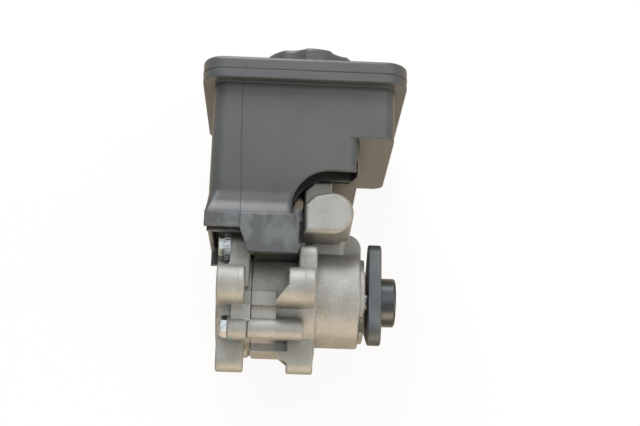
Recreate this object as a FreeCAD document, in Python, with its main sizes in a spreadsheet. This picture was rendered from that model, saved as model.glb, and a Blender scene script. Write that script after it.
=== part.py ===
import FreeCAD, Part
import Sketcher
import math
import os
import re

# Vane-type power steering pump with its plastic fluid reservoir on top.
# Origin: centre of the hub flange's pulley face. +X runs out along the shaft, +Z up to the cap,
# +Y away from the side with the two mounting lugs. Lengths are millimetres, turns are degrees.
# A cutting tool runs 1 mm past the face that it cuts through.

SIZES = {
    # Hub flange and shaft
    "flange_thickness": 9.5,  # hub flange, along the shaft
    "flange_pitch_radius": 30.0,  # pulley bolt circle
    "flange_lobe_radius": 12.5,  # rounded corner around each pulley bolt
    "flange_edge": 0.8,  # chamfer of the flange edges
    "flange_hole_radius": 3.4,  # tapped hole for a pulley bolt
    "flange_turn": 21,  # turn of the top lobe toward the lug side, degrees
    "pilot_radius": 18.0,  # boss that centres the pulley
    "pilot_length": 11.6,  # boss, along the shaft
    "pilot_round": 2.0,  # rounded end of the boss
    "hub_recess_radius": 11.0,  # recess in the end of the boss
    "hub_recess_depth": 3.0,  # recess in the end of the boss
    "flange_gap": 2.6,  # flange to housing nose
    "shaft_front_radius": 7.4,  # shaft in the hub
    "shaft_seat_radius": 8.5,  # shaft in the ball bearing
    "shaft_mid_radius": 7.5,  # shaft in the seal and the rotor
    "shaft_rear_radius": 6.0,  # shaft in the rear bush
    "shaft_end_gap": 1.0,  # shaft's rear end to the bush's end
    "shaft_way_gap": 1.0,  # plain holes around the shaft
    "spline_depth": 0.9,  # height of the spline teeth over the shaft
    "spline_width": 1.9,  # width of a spline tooth

    # Front housing
    "nose_length": 3.4,  # turned nose in front of the barrel
    "nose_radius": 31.0,  # turned nose
    "nose_round": 1.0,  # rounded front edge of the nose
    "nose_pocket_radius": 6.5,  # cast pockets in the rim of the nose
    "barrel_length": 31.5,  # round barrel around bearing and seal
    "barrel_radius": 35.0,  # round barrel
    "chamber_length": 45.9,  # stretch around the pump chamber
    "chamber_radius": 39.0,  # outside of the pump chamber
    "chamber_bore": 32.0,  # bore for the plates and the cam ring
    "cast_round": 1.6,  # rounded cast edges
    "ridge_reach": 41.2,  # cast ridge beside the chamber, from the shaft axis
    "ridge_top": 3.0,  # top of the cast ridge below the shaft axis
    "ridge_bottom": 14.0,  # underside of the ridge below the shaft axis
    "flank_reach": 38.5,  # flat flank under the ridge, from the shaft axis
    "belly_depth": 42.4,  # flat belly below the shaft axis
    "belly_half_width": 15.0,  # half of the flat belly

    # Mounting lugs, bored along the shaft direction
    "foot_radius": 9.0,  # round end of a lower lug
    "side_lug_radius": 13.7,  # round end of a side lug
    "lug_bore": 4.25,  # hole through a mounting lug
    "foot_y": -12.0,  # lower lugs, across
    "foot_z": -48.3,  # lower lugs, up
    "side_y": -48.0,  # side lugs, across
    "side_z": -0.9,  # side lugs, up
    "lug_root": 20.0,  # how near the shaft axis the stems of the lugs begin
    "lug_length": 19.2,  # front lugs, along the shaft
    "lug_setback": 0.9,  # front lugs behind the chamber's front
    "rear_lug_length": 19.8,  # rear lugs, along the shaft
    "rear_lug_setback": 0.8,  # rear lugs in front of the cover's rear
    "web_length": 9.8,  # sloping web beside a front lug
    "side_web_reach": 2.5,  # foot of the side web below the lug's bore
    "foot_web_reach": 1.8,  # foot of the lower web below the lug's bore

    # Rear cover and its joint
    "gasket_thickness": 0.6,  # flat gasket at the split
    "gasket_inner": 34.0,  # inside of the gasket
    "cover_depth": 25.0,  # rear cover, along the shaft
    "cover_round": 3.5,  # rounded rear edge of the cover

    # Bolts that clamp the cover and the reservoir
    "bolt_y": 36.0,  # bolt axes, either side of the shaft
    "bolt_z": 29.6,  # bolt axes, above and below the shaft
    "bolt_radius": 4.0,  # bolt shank
    "bolt_clearance": 0.5,  # play of a shank in a plain hole
    "head_flats": 13.0,  # hexagon head across its flats
    "head_height": 4.6,  # hexagon head
    "head_crown": 1.0,  # bevel of a hexagon head, along the bolt
    "crown_inset": 0.2,  # bevel of a head inside its flats
    "bolt_point": 1.0,  # bevel at the tip of a bolt
    "head_room": 1.0,  # room around a head or washer
    "boss_radius": 8.5,  # cover boss around a lower bolt
    "boss_length": 14.0,  # cover boss around a lower bolt
    "boss_overlap": 2.6,  # how far the joint of a lower boss lies behind the split
    "shoulder_setback": 2.4,  # shoulder over a lower boss, from the boss's end
    "tube_radius": 7.5,  # threaded tube on the housing for a lower bolt
    "tube_length": 37.1,  # threaded tube on the housing
    "lower_thread": 30.0,  # lower bolt in the threaded tube
    "thread_runout": 3.0,  # tapped hole beyond the tip of a lower bolt
    "upper_grip": 22.6,  # upper bolt in the threaded bush
    "ear_radius": 8.5,  # front ear around an upper bolt
    "ear_z": 23.7,  # front ear, up
    "ear_length": 13.3,  # front ear, along the bolt
    "ear_setback": 0.2,  # front ear behind the chamber's front
    "rear_ear_radius": 8.6,  # cover ear around an upper bolt
    "rear_ear_length": 14.2,  # cover ear, along the bolt
    "ear_recess": 1.6,  # cover ear behind the joint
    "ear_top": 35.5,  # flat top of a cover ear
    "ear_round": 8.8,  # rounded front of a cover ear
    "ear_round_run": 6.2,  # that rounding, along the bolt
    "ear_round_drop": 9.7,  # that rounding, downward
    "ear_root": 5.0,  # hollow between cover ear and side lug
    "washer_radius": 10.5,  # serrated washer
    "washer_thickness": 4.2,  # serrated washer
    "washer_tooth": 0.8,  # depth of the serrations
    "washer_notch": 0.8,  # width of a notch between two serrations
    "sleeve_radius": 6.0,  # steel sleeve in the reservoir's lug

    # Bearing, seal and retaining ring
    "bearing_recess": 7.5,  # nose face to bearing
    "bearing_width": 12.0,  # ball bearing
    "bearing_radius": 20.0,  # ball bearing, outside
    "inner_ring_radius": 12.4,  # outside of the inner ring
    "outer_ring_bore": 16.6,  # inside of the outer ring
    "ball_radius": 3.6,  # bearing ball
    "ball_play": 0.05,  # play of the balls in race and cage
    "cage_width": 9.2,  # ball cage
    "cage_half": 0.9,  # half of the cage's wall
    "clip_thickness": 1.5,  # retaining ring
    "clip_radius": 21.2,  # groove of the retaining ring
    "clip_width": 3.4,  # radial width of the retaining ring
    "clip_gap": 9.0,  # opening of the retaining ring
    "seal_length": 7.0,  # lip seal, along the shaft
    "seal_setback": 4.0,  # lip seal behind the bearing
    "seal_radius": 14.0,  # lip seal, outside
    "seal_wall": 1.6,  # rim and lip of the seal
    "running_gap": 0.04,  # radial play of turning parts

    # Pump cartridge
    "front_plate_thickness": 8.0,  # front pressure plate
    "rear_plate_thickness": 8.0,  # rear pressure plate
    "cam_width": 18.0,  # cam ring
    "cam_small_radius": 23.6,  # cam ring across its short axis
    "cam_lift": 1.6,  # extra radius across the long axis
    "rotor_radius": 23.0,  # rotor
    "rotor_side_gap": 0.05,  # play of the rotor at each plate
    "vane_thickness": 1.8,  # vane
    "vane_depth": 8.5,  # vane, from tip to foot
    "vane_play": 0.04,  # play of a vane in its slot and at the cam
    "slot_floor_radius": 13.0,  # bottom of the vane slots
    "slot_foot_radius": 1.5,  # round foot of a vane slot
    "dowel_radius": 2.0,  # dowel pins through the cartridge
    "dowel_pitch": 27.6,  # dowel pins from the shaft axis
    "kidney_inner": 20.5,  # kidney ports, inner radius
    "kidney_outer": 24.5,  # kidney ports, outer radius
    "kidney_span": 48,  # length of a kidney port, degrees
    "seal_cord": 1.0,  # section radius of the plate seals
    "bush_wall": 2.0,  # rear bush
    "bush_length": 14.0,  # rear bush
    "bush_pocket": 2.0,  # pocket behind the rear bush
    "disc_spring_inner": 11.0,  # disc spring
    "disc_spring_outer": 17.0,  # disc spring
    "disc_spring_height": 2.2,  # disc spring, along the shaft
    "disc_spring_sheet": 1.0,  # sheet of the disc spring

    # Flow control valve across the housing
    "valve_x": -37.8,  # valve axis, along the shaft
    "valve_z": 54.5,  # valve axis, up
    "valve_bore": 8.0,  # valve bore
    "valve_front": -48.0,  # blind end of the valve boss
    "valve_length": 84.0,  # valve boss, across
    "valve_wall": 8.0,  # blind end of the bore
    "valve_left": 20.0,  # valve axis to the flat side of the boss
    "valve_round": 15.6,  # round side of the boss
    "valve_corner_run": 7.4,  # sloping upper corner, across its top
    "valve_corner_top": 13.0,  # upper end of that corner over the valve axis
    "valve_corner_foot": 5.5,  # lower end of that corner over the valve axis
    "valve_end_round": 3.5,  # rounded end of the boss
    "pedestal_inset": 3.5,  # pedestal under the boss, inside the boss's sides
    "pedestal_root": 10.0,  # foot of the pedestal over the shaft axis
    "pedestal_front": -15.0,  # near end of the pedestal
    "pedestal_length": 42.0,  # pedestal, across
    "pedestal_round": 4.8,  # upright corners of the pedestal
    "plug_radius": 9.2,  # valve plug
    "plug_length": 11.0,  # valve plug in the housing
    "plug_collar": 2.0,  # collar of the plug, along the valve
    "collar_reach": 1.2,  # collar of the plug beyond its bore
    "plug_land": 2.0,  # plug's inner end to its seal groove
    "plug_flats": 17.0,  # hexagon of the plug, across its flats
    "plug_head": 6.0,  # hexagon of the plug
    "spool_length": 33.0,  # flow control spool
    "spool_land": 5.0,  # land at the start of the spool and between its grooves
    "spool_ring": 2.0,  # narrow groove of the spool
    "spool_waist": 8.0,  # wide groove of the spool
    "spool_play": 0.03,  # play of the spool in its bore
    "spool_groove": 1.6,  # depth of the spool's grooves
    "spool_hollow": 4.6,  # spring pocket in the spool
    "spring_radius": 5.6,  # spool spring, to the middle of its wire
    "spring_wire": 0.8,  # spool spring, section radius of its wire
    "spring_turns": 5,  # spool spring
    "relief_seat_length": 5.0,  # relief valve seat in the spool
    "relief_hole": 1.3,  # hole of the relief valve seat
    "relief_ball_radius": 2.4,  # relief ball
    "ball_lift": 0.02,  # play between relief ball and seat
    "relief_wire": 0.5,  # relief spring, section radius of its wire
    "relief_turns": 4,  # relief spring
    "relief_spring_length": 9.0,  # relief spring

    # Ports
    "inlet_x": -48.2,  # suction inlet, along the shaft
    "inlet_y": -8.0,  # suction inlet, across
    "inlet_radius": 10.2,  # suction inlet
    "inlet_bore": 8.4,  # bore of the suction inlet
    "inlet_depth": 13.0,  # depth of that bore
    "tower_width": 19.9,  # block that carries the inlet, along the shaft
    "tower_top": 80.2,  # top of that block
    "tower_front": -36.0,  # near face of that block
    "tower_corner": 7.0,  # sloping upper corner of that block
    "inlet_room": 2.0,  # room in the tank around the inlet
    "suction_radius": 5.0,  # suction way down to the valve bore
    "outlet_x": -24.5,  # pressure outlet, along the shaft
    "outlet_z": 42.0,  # pressure outlet, up
    "outlet_radius": 11.0,  # pressure outlet boss
    "outlet_front": 6.0,  # near end of the outlet boss
    "outlet_length": 30.0,  # pressure outlet boss, across
    "outlet_bore": 7.25,  # tapped hole for the pressure line
    "outlet_depth": 16.0,  # tapped hole for the pressure line
    "outlet_way_radius": 1.6,  # drilling from the valve bore to that hole
    "outlet_way_y": 22.5,  # that drilling, across
    "outlet_way_z": 47.0,  # that drilling, up
    "drill_radius": 2.6,  # drillings between pump chamber and valve bore
    "pressure_way_y": 12.0,  # drilling on the pressure side, across

    # Reservoir
    "tank_left": -126.7,  # rear end of the tank, along the shaft
    "tank_right": 5.9,  # front end of the tank, along the shaft
    "tank_front": -56.0,  # lug side of the tank
    "tank_back": 67.0,  # far side of the tank
    "tank_wall": 3.0,  # tank wall
    "tank_round": 9.0,  # upright corners of the tank
    "flange_underside": 149.0,  # underside of the tank's rim
    "seam_height": 155.8,  # seam between tank and lid
    "overhang": 8.6,  # rim beyond the tank walls
    "rim_round": 16.0,  # corners of the rim
    "shelf_height": 109.0,  # underside of the tank over the hub
    "shelf_x": -19.0,  # side of the tank below the shelf
    "throat_height": 83.5,  # underside of the tank over the inlet
    "arc_x": -39.5,  # centre of the hollow side, along the shaft
    "arc_radius": 27.4,  # hollow side beside the valve boss
    "floor_height": 55.0,  # underside of the tank over the pump
    "hood_depth": 22.5,  # open hood behind the lug side
    "hood_rib": 2.0,  # rib behind the deep pocket
    "hood_slot": 4.0,  # narrow pocket behind that rib
    "hood_bottom": 62.0,  # lower end of the pockets
    "hood_side": 1.6,  # wall at the right end of the pockets
    "hood_straight": 11.0,  # straight stretch of that wall
    "hood_slope": 5.0,  # slant of the rest of that wall
    "hood_height": 9.0,  # open hood over the inlet
    "flare_top": 65.0,  # where the skirt starts to flare
    "flare_middle": 57.0,  # bend of the flare
    "flare_bottom": 48.5,  # where the flare ends
    "flare_share": 0.3,  # part of the flare above its bend
    "skirt_round": 1.2,  # rear corners of the skirt
    "skirt_bottom": 36.0,  # lower edge of the skirt
    "rail_bottom": 38.0,  # lower edge of the outer skirt walls
    "rail_gap": 6.0,  # near inner skirt wall behind the outer one
    "far_rail_y": 47.0,  # far inner skirt wall
    "skirt_reach": 60.0,  # skirt on either side of the shaft
    "skirt_left": -128.5,  # rear face of the skirt
    "saddle_left": -103.5,  # saddle, rear edge
    "saddle_slope": 7.4,  # slope of the saddle's rear edge
    "saddle_bottom": 20.0,  # lower edge of the saddle
    "saddle_wall": 3.4,  # saddle plate
    "saddle_proud": 0.5,  # saddle plate outside the skirt
    "saddle_setback": 1.0,  # saddle's edge behind the front ear's rear
    "saddle_step": 3.4,  # sloping step in that edge
    "saddle_lug_radius": 9.3,  # saddle lug around the sleeve
    "saddle_gap": 0.5,  # reservoir's lug to the housing
    "cheek_thickness": 4.0,  # cheeks of the saddle lug
    "tab_inset": 2.0,  # small tab behind the lug side of the tank
    "tab_drop": 9.8,  # lower edge of the tab below the tank's floor
    "tab_height": 9.0,  # small tab, up
    "tab_reach": 7.3,  # small tab beside the skirt's end
    "tab_width": 10.0,  # small tab, across
    "neck_radius": 7.9,  # suction neck of the tank
    "neck_bore": 5.6,  # suction neck of the tank
    "neck_length": 10.5,  # suction neck below the tank's floor
    "neck_lead": 1.0,  # neck below its seal
    "grommet_flange": 1.2,  # flange of the inlet seal
    "nipple_x": -93.5,  # return nipple, along the shaft
    "nipple_z": 78.0,  # return nipple, up
    "nipple_radius": 5.4,  # return nipple
    "nipple_bore": 3.6,  # return nipple
    "nipple_length": 22.0,  # return nipple
    "nipple_bead": 0.8,  # bead that holds the hose

    # Lid, cap and what hangs in the tank
    "lid_height": 9.7,  # lid above the seam
    "lid_round": 2.6,  # rounded edge of the lid
    "lid_skin": 3.0,  # top wall of the lid
    "lid_rim": 9.6,  # width of the lid's rim on the tank
    "cap_x": -57.1,  # cap axis, along the shaft
    "cap_y": 5.0,  # cap axis, across
    "cap_radius": 35.5,  # cap over its lobes
    "cap_dip_round": 18.0,  # hollow between two lobes
    "cap_lobe_span": 32,  # length of a lobe, degrees
    "cap_lobe_turn": 41,  # turn of the lobes, degrees
    "cap_top": 189.0,  # top of the cap
    "cap_height": 22.0,  # cap
    "cap_skin": 3.2,  # walls of the cap
    "cap_round": 3.0,  # rounded top edge of the cap
    "cap_bore": 29.0,  # inside of the cap
    "neck_outer": 28.4,  # filler neck of the lid
    "neck_inner": 24.4,  # filler neck of the lid
    "cap_seal_thickness": 2.0,  # flat seal under the cap
    "cap_seal_gap": 0.3,  # flat seal over the filler neck
    "collar_height": 1.2,  # collar of the lid around the neck
    "collar_width": 5.0,  # collar of the lid around the neck
    "stick_length": 84.0,  # dipstick under the cap
    "stick_width": 6.0,  # dipstick
    "stick_thickness": 2.0,  # dipstick
    "stick_root": 8.0,  # round root of the dipstick
    "strainer_radius": 12.0,  # strainer over the suction neck
    "strainer_height": 20.0,  # strainer over the suction neck
    "strainer_wall": 1.6,  # strainer wall
    "strainer_sill": 4.0,  # rims below and over the windows
}

Vector = FreeCAD.Vector
doc = FreeCAD.newDocument("SteeringPump")
sizes = doc.addObject("Spreadsheet::Sheet", "Sizes")
nodes = []
for row, (alias, number) in enumerate(SIZES.items(), 1):
    sizes.set(f"A{row}", alias)
    sizes.set(f"B{row}", str(number))
    sizes.setAlias(f"B{row}", alias)
doc.recompute()

# Stations along the shaft, each worked out from the one before
nose_front = "(-flange_thickness - flange_gap)"
barrel_front = f"({nose_front} - nose_length)"
chamber_front = f"({barrel_front} - barrel_length)"
split = f"({chamber_front} - chamber_length)"
cover_face = f"({split} - gasket_thickness)"
cover_rear = f"({cover_face} - cover_depth)"
bearing_front = f"({nose_front} - bearing_recess)"
bearing_rear = f"({bearing_front} - bearing_width)"
seal_front = f"({bearing_rear} - seal_setback)"
seal_rear = f"({seal_front} - seal_length)"
cam_rear = f"({cover_face} + rear_plate_thickness)"
cam_front = f"({cam_rear} + cam_width)"
chamber_floor = f"({cam_front} + front_plate_thickness)"
bush_rear = f"({cover_face} - bush_length)"
ear_front = f"({chamber_front} - ear_setback)"
ear_rear = f"({ear_front} - ear_length)"
rear_ear_front = f"({cover_face} - ear_recess)"
rear_ear_rear = f"({rear_ear_front} - rear_ear_length)"
lug_front = f"({chamber_front} - lug_setback)"
lug_rear = f"({lug_front} - lug_length)"
rear_lug_rear = f"({cover_rear} + rear_lug_setback)"
boss_joint = f"({split} - boss_overlap)"
boss_rear = f"({boss_joint} - boss_length)"

# Heights on the reservoir
inlet_top = "(throat_height - grommet_flange)"
arc_z = "(throat_height - arc_radius)"
step_x = f"(arc_x - sqrt(arc_radius^2 - (floor_height - {arc_z})^2))"
lid_top = "(seam_height + lid_height)"
cap_bottom = "(cap_top - cap_height)"
cap_ceiling = "(cap_top - cap_skin)"
seal_bottom = f"({cap_ceiling} - cap_seal_thickness)"
neck_top = f"({seal_bottom} - cap_seal_gap)"
head_corner = "(head_flats / 2 / cos(30))"

# Along the flow control valve
plug_face = "(valve_front + valve_length - plug_length)"
spool_start = f"({plug_face} - spool_length)"
pocket_depth = "(relief_seat_length + relief_spring_length + 2 * relief_ball_radius)"


def named(text):
    """The expression with every alias written as a cell of the sheet."""
    return re.sub(r"[a-z]\w*", lambda word: "Sizes." * (word.group() in SIZES) + word.group(), text)


def value(text):
    """The present number of an expression."""
    found = sizes.evalExpression(named(text))
    return float(getattr(found, "Value", found))


def bind(thing, field, text):
    thing.setExpression(field, named(text))


def place(thing, at):
    """Ties the position of a thing to the sheet."""
    for field, text in zip("xyz", at):
        if text != "0":
            bind(thing, f"Placement.Base.{field}", text)


def node(thing, label):
    """Marks a finished sub-part, whose label names its file."""
    thing.Label = label
    nodes.append(thing)
    return thing


def arc_centre(start, end, radius):
    """Centre of the short arc between two points; a negative radius turns clockwise."""
    half = (end - start) * 0.5
    across = Vector(-half.y, half.x, 0).normalize()
    rise = math.sqrt(max(radius * radius - half.Length ** 2, 0))
    return start + half + across * math.copysign(rise, radius)


def sketch(body, plane, outline, offset="0", holes=()):
    """A closed outline on an origin plane. Each entry is a point, with a radius where an arc follows."""
    drawing = body.newObject("Sketcher::SketchObject", body.Name + "Sketch")
    support = [face for face in body.Origin.OriginFeatures if face.Role == plane][0]
    drawing.AttachmentSupport = [(support, "")]
    drawing.MapMode = "FlatFace"
    if offset != "0":
        bind(drawing, "AttachmentOffset.Base.z", offset)
    points = [Vector(value(entry[0]), value(entry[1]), 0) for entry in outline]
    geometry, constraints, texts, ends = [], [], [], []
    for index, entry in enumerate(outline):
        start, end = points[index], points[(index + 1) % len(points)]
        if len(entry) == 2:
            geometry.append(Part.LineSegment(start, end))
            ends.append((1, 2))
            continue
        radius = value(entry[2])
        centre = arc_centre(start, end, radius)
        first, last = (start, end) if radius > 0 else (end, start)
        angles = [math.atan2(p.y - centre.y, p.x - centre.x) for p in (first, last)]
        circle = Part.Circle(centre, Vector(0, 0, 1), abs(radius))
        geometry.append(Part.ArcOfCircle(circle, angles[0], angles[1]))
        ends.append((1, 2) if radius > 0 else (2, 1))
        constraints.append(Sketcher.Constraint("Radius", index, abs(radius)))
        texts.append(entry[2] if radius > 0 else f"-({entry[2]})")
    for index, entry in enumerate(outline):
        follower = (index + 1) % len(outline)
        meeting = (index, ends[index][1], follower, ends[follower][0])
        constraints.append(Sketcher.Constraint("Coincident", *meeting))
        texts.append(None)
        for kind, text in (("DistanceX", entry[0]), ("DistanceY", entry[1])):
            constraints.append(Sketcher.Constraint(kind, index, ends[index][0], value(text)))
            texts.append(text)
    for across, up, radius in holes:
        index = len(geometry)
        geometry.append(Part.Circle(Vector(value(across), value(up), 0), Vector(0, 0, 1), value(radius)))
        for kind, text in (("DistanceX", across), ("DistanceY", up)):
            constraints.append(Sketcher.Constraint(kind, index, 3, value(text)))
            texts.append(text)
        constraints.append(Sketcher.Constraint("Radius", index, value(radius)))
        texts.append(radius)
    drawing.addGeometry(geometry)
    drawing.addConstraint(constraints)
    for index, text in enumerate(texts):
        if text is not None:
            bind(drawing, f"Constraints[{index}]", text)
    return drawing


def new_body(name, at=("0", "0", "0")):
    body = doc.addObject("PartDesign::Body", name)
    place(body, at)
    return body


def turned(name, axis, profile, at=("0", "0", "0")):
    """A body of revolution. The profile's points are (along the axis, radius)."""
    body = new_body(name, at)
    if axis == "x":
        drawing = sketch(body, "XZ_Plane", profile)
    else:
        swapped = [(entry[1], entry[0]) + tuple(flip(text) for text in entry[2:]) for entry in profile]
        drawing = sketch(body, "XZ_Plane" if axis == "z" else "XY_Plane", swapped)
    feature = body.newObject("PartDesign::Revolution", name + "Turn")
    feature.Profile = drawing
    feature.ReferenceAxis = (drawing, ["H_Axis" if axis == "x" else "V_Axis"])
    feature.Angle = 360
    return body


def flip(text):
    """The opposite turning sense of an arc."""
    return text[1:] if text.startswith("-") else "-" + text


def padded(name, plane, outline, start, length, at=("0", "0", "0"), holes=()):
    """A prism from start, along the plane's axis, over a length."""
    body = new_body(name, at)
    offset = f"-(({start}) + ({length}))" if plane == "XZ_Plane" else start
    drawing = sketch(body, plane, outline, offset, holes)
    feature = body.newObject("PartDesign::Pad", name + "Pad")
    feature.Profile = drawing
    bind(feature, "Length", length)
    return body


def blend(body, chosen, radius, kind="Fillet"):
    """Rounds or chamfers the chosen edges of the body's last feature."""
    doc.recompute()
    base = body.Tip
    picked = [f"Edge{index}" for index, edge in enumerate(base.Shape.Edges, 1) if chosen(edge)]
    feature = body.newObject("PartDesign::" + kind, body.Name + kind)
    feature.Base = (base, picked)
    bind(feature, "Radius" if kind == "Fillet" else "Size", radius)
    return body


def straight(axis):
    """Chooses the straight edges that run along an axis."""
    direction = dict(x=Vector(1, 0, 0), y=Vector(0, 1, 0), z=Vector(0, 0, 1))[axis]

    def chosen(edge):
        if not isinstance(edge.Curve, Part.Line):
            return False
        return abs(edge.Curve.Direction.dot(direction)) > 0.999
    return chosen


def level(axis, *texts):
    """Chooses the edges that lie in one of the planes across an axis."""
    index = "xyz".index(axis)
    heights = [value(text) for text in texts]

    def chosen(edge):
        spots = [edge.valueAt(edge.FirstParameter), edge.valueAt(edge.LastParameter)]
        spots.append(edge.valueAt((edge.FirstParameter + edge.LastParameter) / 2))
        return any(all(abs(spot[index] - height) < 0.01 for spot in spots) for height in heights)
    return chosen


TURNS = {
    "x": FreeCAD.Rotation(Vector(0, 1, 0), 90),
    "y": FreeCAD.Rotation(Vector(1, 0, 0), -90),
    "z": FreeCAD.Rotation(),
}


def rod(name, axis, radius, start, length, centre=("0", "0")):
    """A round bar along an axis, with its centre line at the two other coordinates."""
    bar = doc.addObject("Part::Cylinder", name)
    bar.Placement.Rotation = TURNS[axis]
    bind(bar, "Radius", radius)
    bind(bar, "Height", length)
    at = list(centre)
    at.insert("xyz".index(axis), start)
    place(bar, at)
    return bar


def block(name, low, extent):
    box = doc.addObject("Part::Box", name)
    place(box, low)
    for field, text in zip(("Length", "Width", "Height"), extent):
        bind(box, field, text)
    return box


def ball(name, radius, at):
    sphere = doc.addObject("Part::Sphere", name)
    bind(sphere, "Radius", radius)
    place(sphere, at)
    return sphere


def fused(name, pieces):
    whole = doc.addObject("Part::MultiFuse", name)
    whole.Shapes = pieces
    whole.Refine = True
    return whole


def cut(name, base, tools):
    """The base without the tools, which are taken away one after another."""
    for tool in tools:
        result = doc.addObject("Part::Cut", name)
        result.Base = base
        result.Tool = tool
        result.Refine = False
        base = result
    return base


def shared(name, base, tool):
    """What two solids have in common."""
    result = doc.addObject("Part::Common", name)
    result.Base = base
    result.Tool = tool
    return result


def group(name, pieces):
    bundle = doc.addObject("Part::Compound", name)
    bundle.Links = pieces
    return bundle


def tongue(across, up, radius, reach, way):
    """Outline of a round end with a straight stem that runs one way to a given coordinate."""
    left, right = f"({across} - {radius})", f"({across} + {radius})"
    low, high = f"({up} - {radius})", f"({up} + {radius})"
    if way == "up":
        return [(left, up, radius), (across, low, radius), (right, up), (right, reach), (left, reach)]
    if way == "down":
        return [(right, up, radius), (across, high, radius), (left, up), (left, reach), (right, reach)]
    return [(across, high, radius), (left, up, radius), (across, low), (reach, low), (reach, high)]


def hexagon(flats, across="0", up="0"):
    """Six corners of a hexagon with a corner straight up."""
    corner = f"({flats} / 2 / cos(30))"
    return [(f"{across} + {corner} * cos({a})", f"{up} + {corner} * sin({a})") for a in range(30, 390, 60)]


def rectangle(left, front, right, back):
    return [(left, front), (right, front), (right, back), (left, back)]


def coil(name, radius, wire, pitch, turns, at, axis="y"):
    """A coil spring wound along an axis, with its first turn resting at the given point."""
    helix = doc.addObject("Part::Helix", name + "Line")
    bind(helix, "Radius", radius)
    bind(helix, "Pitch", pitch)
    bind(helix, "Height", f"({pitch}) * ({turns})")
    circle = doc.addObject("Part::Circle", name + "Wire")
    bind(circle, "Radius", wire)
    bind(circle, "Placement.Base.x", radius)
    circle.Placement.Rotation = FreeCAD.Rotation(Vector(1, 0, 0), 90)
    sweep = doc.addObject("Part::Sweep", name)
    sweep.Sections = [circle]
    doc.recompute([helix, circle])
    sweep.Spine = (helix, [f"Edge{index + 1}" for index in range(len(helix.Shape.Edges))])
    sweep.Solid = True
    sweep.Frenet = True
    sweep.Placement.Rotation = TURNS[axis]
    place(sweep, at)
    return sweep


def stepped(outline_top, radius_texts):
    """Joins stations and radii into a profile that is closed along the axis."""
    return [(outline_top[0], "0")] + list(zip(outline_top, radius_texts)) + [(outline_top[-1], "0")]


def hub_flange():
    """Turned and milled steel flange: three lobes for the pulley bolts and a centring boss."""
    turns = [90, 210, 330]
    outline = []
    for index, turn in enumerate(turns):
        for side in (-60, 60):
            across = f"flange_pitch_radius * cos({turn}) + flange_lobe_radius * cos({turn + side})"
            up = f"flange_pitch_radius * sin({turn}) + flange_lobe_radius * sin({turn + side})"
            middle = (f"flange_pitch_radius * cos({turn}) + flange_lobe_radius * cos({turn})",
                      f"flange_pitch_radius * sin({turn}) + flange_lobe_radius * sin({turn})")
            if side < 0:
                outline.append((across, up, "flange_lobe_radius"))
                outline.append(middle + ("flange_lobe_radius",))
            else:
                outline.append((across, up))
    plate = padded("FlangePlate", "YZ_Plane", outline, "-flange_thickness", "flange_thickness")
    blend(plate, level("x", "0", "-flange_thickness"), "flange_edge", "Chamfer")
    boss = turned("PilotBoss", "x", [
        ("-flange_edge", "0"), ("pilot_length", "0"),
        ("pilot_length", "pilot_radius - pilot_round", "pilot_round"),
        ("pilot_length - pilot_round", "pilot_radius"), ("-flange_edge", "pilot_radius")])
    bore = rod("HubBore", "x", "shaft_front_radius", "-flange_thickness - 1",
               "flange_thickness + pilot_length + 2")
    recess = rod("HubRecess", "x", "hub_recess_radius", "pilot_length - hub_recess_depth",
                 "hub_recess_depth + 1")
    holes = []
    for turn in turns:
        centre = (f"flange_pitch_radius * cos({turn})", f"flange_pitch_radius * sin({turn})")
        holes.append(rod("PulleyHole", "x", "flange_hole_radius", "-flange_thickness - 1",
                         "flange_thickness + 2", centre))
    flange = cut("HubFlange", fused("HubForging", [plate, boss]), [bore, recess] + holes)
    flange.Placement.Rotation = FreeCAD.Rotation(Vector(1, 0, 0), 0)
    bind(flange, "Placement.Rotation.Angle", "flange_turn")
    return node(flange, "hub_flange")


def drive_shaft():
    """Ground steel shaft: hub seat, bearing seat, splined rotor seat and rear bush journal."""
    front = "(pilot_length - hub_recess_depth)"
    stations = [front, bearing_front, bearing_front, bearing_rear, bearing_rear, cover_face, cover_face,
                f"({bush_rear} + shaft_end_gap)"]
    radii = ["shaft_front_radius", "shaft_front_radius", "shaft_seat_radius", "shaft_seat_radius",
             "shaft_mid_radius", "shaft_mid_radius", "shaft_rear_radius", "shaft_rear_radius"]
    shaft = turned("ShaftBar", "x", stepped(stations[::-1], radii[::-1]))
    teeth = spline_teeth("ShaftTooth", "0", "rotor_side_gap")
    return node(fused("DriveShaft", [shaft] + teeth), "drive_shaft")


def spline_teeth(name, play, end_gap):
    """Eight teeth between shaft and rotor."""
    teeth = []
    for index in range(8):
        tooth = doc.addObject("Part::Box", name)
        bind(tooth, "Length", f"cam_width - 2 * ({end_gap})")
        bind(tooth, "Width", f"spline_width + 2 * ({play})")
        bind(tooth, "Height", f"shaft_mid_radius + spline_depth + ({play})")
        angle = 45 * index
        half = f"(spline_width / 2 + ({play}))"
        tooth.Placement.Rotation = FreeCAD.Rotation(Vector(1, 0, 0), angle)
        place(tooth, (f"{cam_rear} + ({end_gap})", f"-{half} * cos({angle})", f"-{half} * sin({angle})"))
        teeth.append(tooth)
    return teeth


def housing_bore():
    """Stack of bores along the shaft: bearing with its ring groove, seal, shaft way and pump chamber."""
    ring_front = f"({bearing_front} + clip_thickness)"
    stations = [f"({split} - 1)", chamber_floor, chamber_floor, seal_rear, seal_rear, bearing_rear,
                bearing_rear, bearing_front, bearing_front, ring_front, ring_front, f"({nose_front} + 1)"]
    way = "(shaft_seat_radius + shaft_way_gap)"
    radii = ["chamber_bore", "chamber_bore", way, way, "seal_radius", "seal_radius", "bearing_radius",
             "bearing_radius", "clip_radius", "clip_radius", "bearing_radius", "bearing_radius"]
    return turned("HousingBore", "x", stepped(stations, radii))


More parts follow.
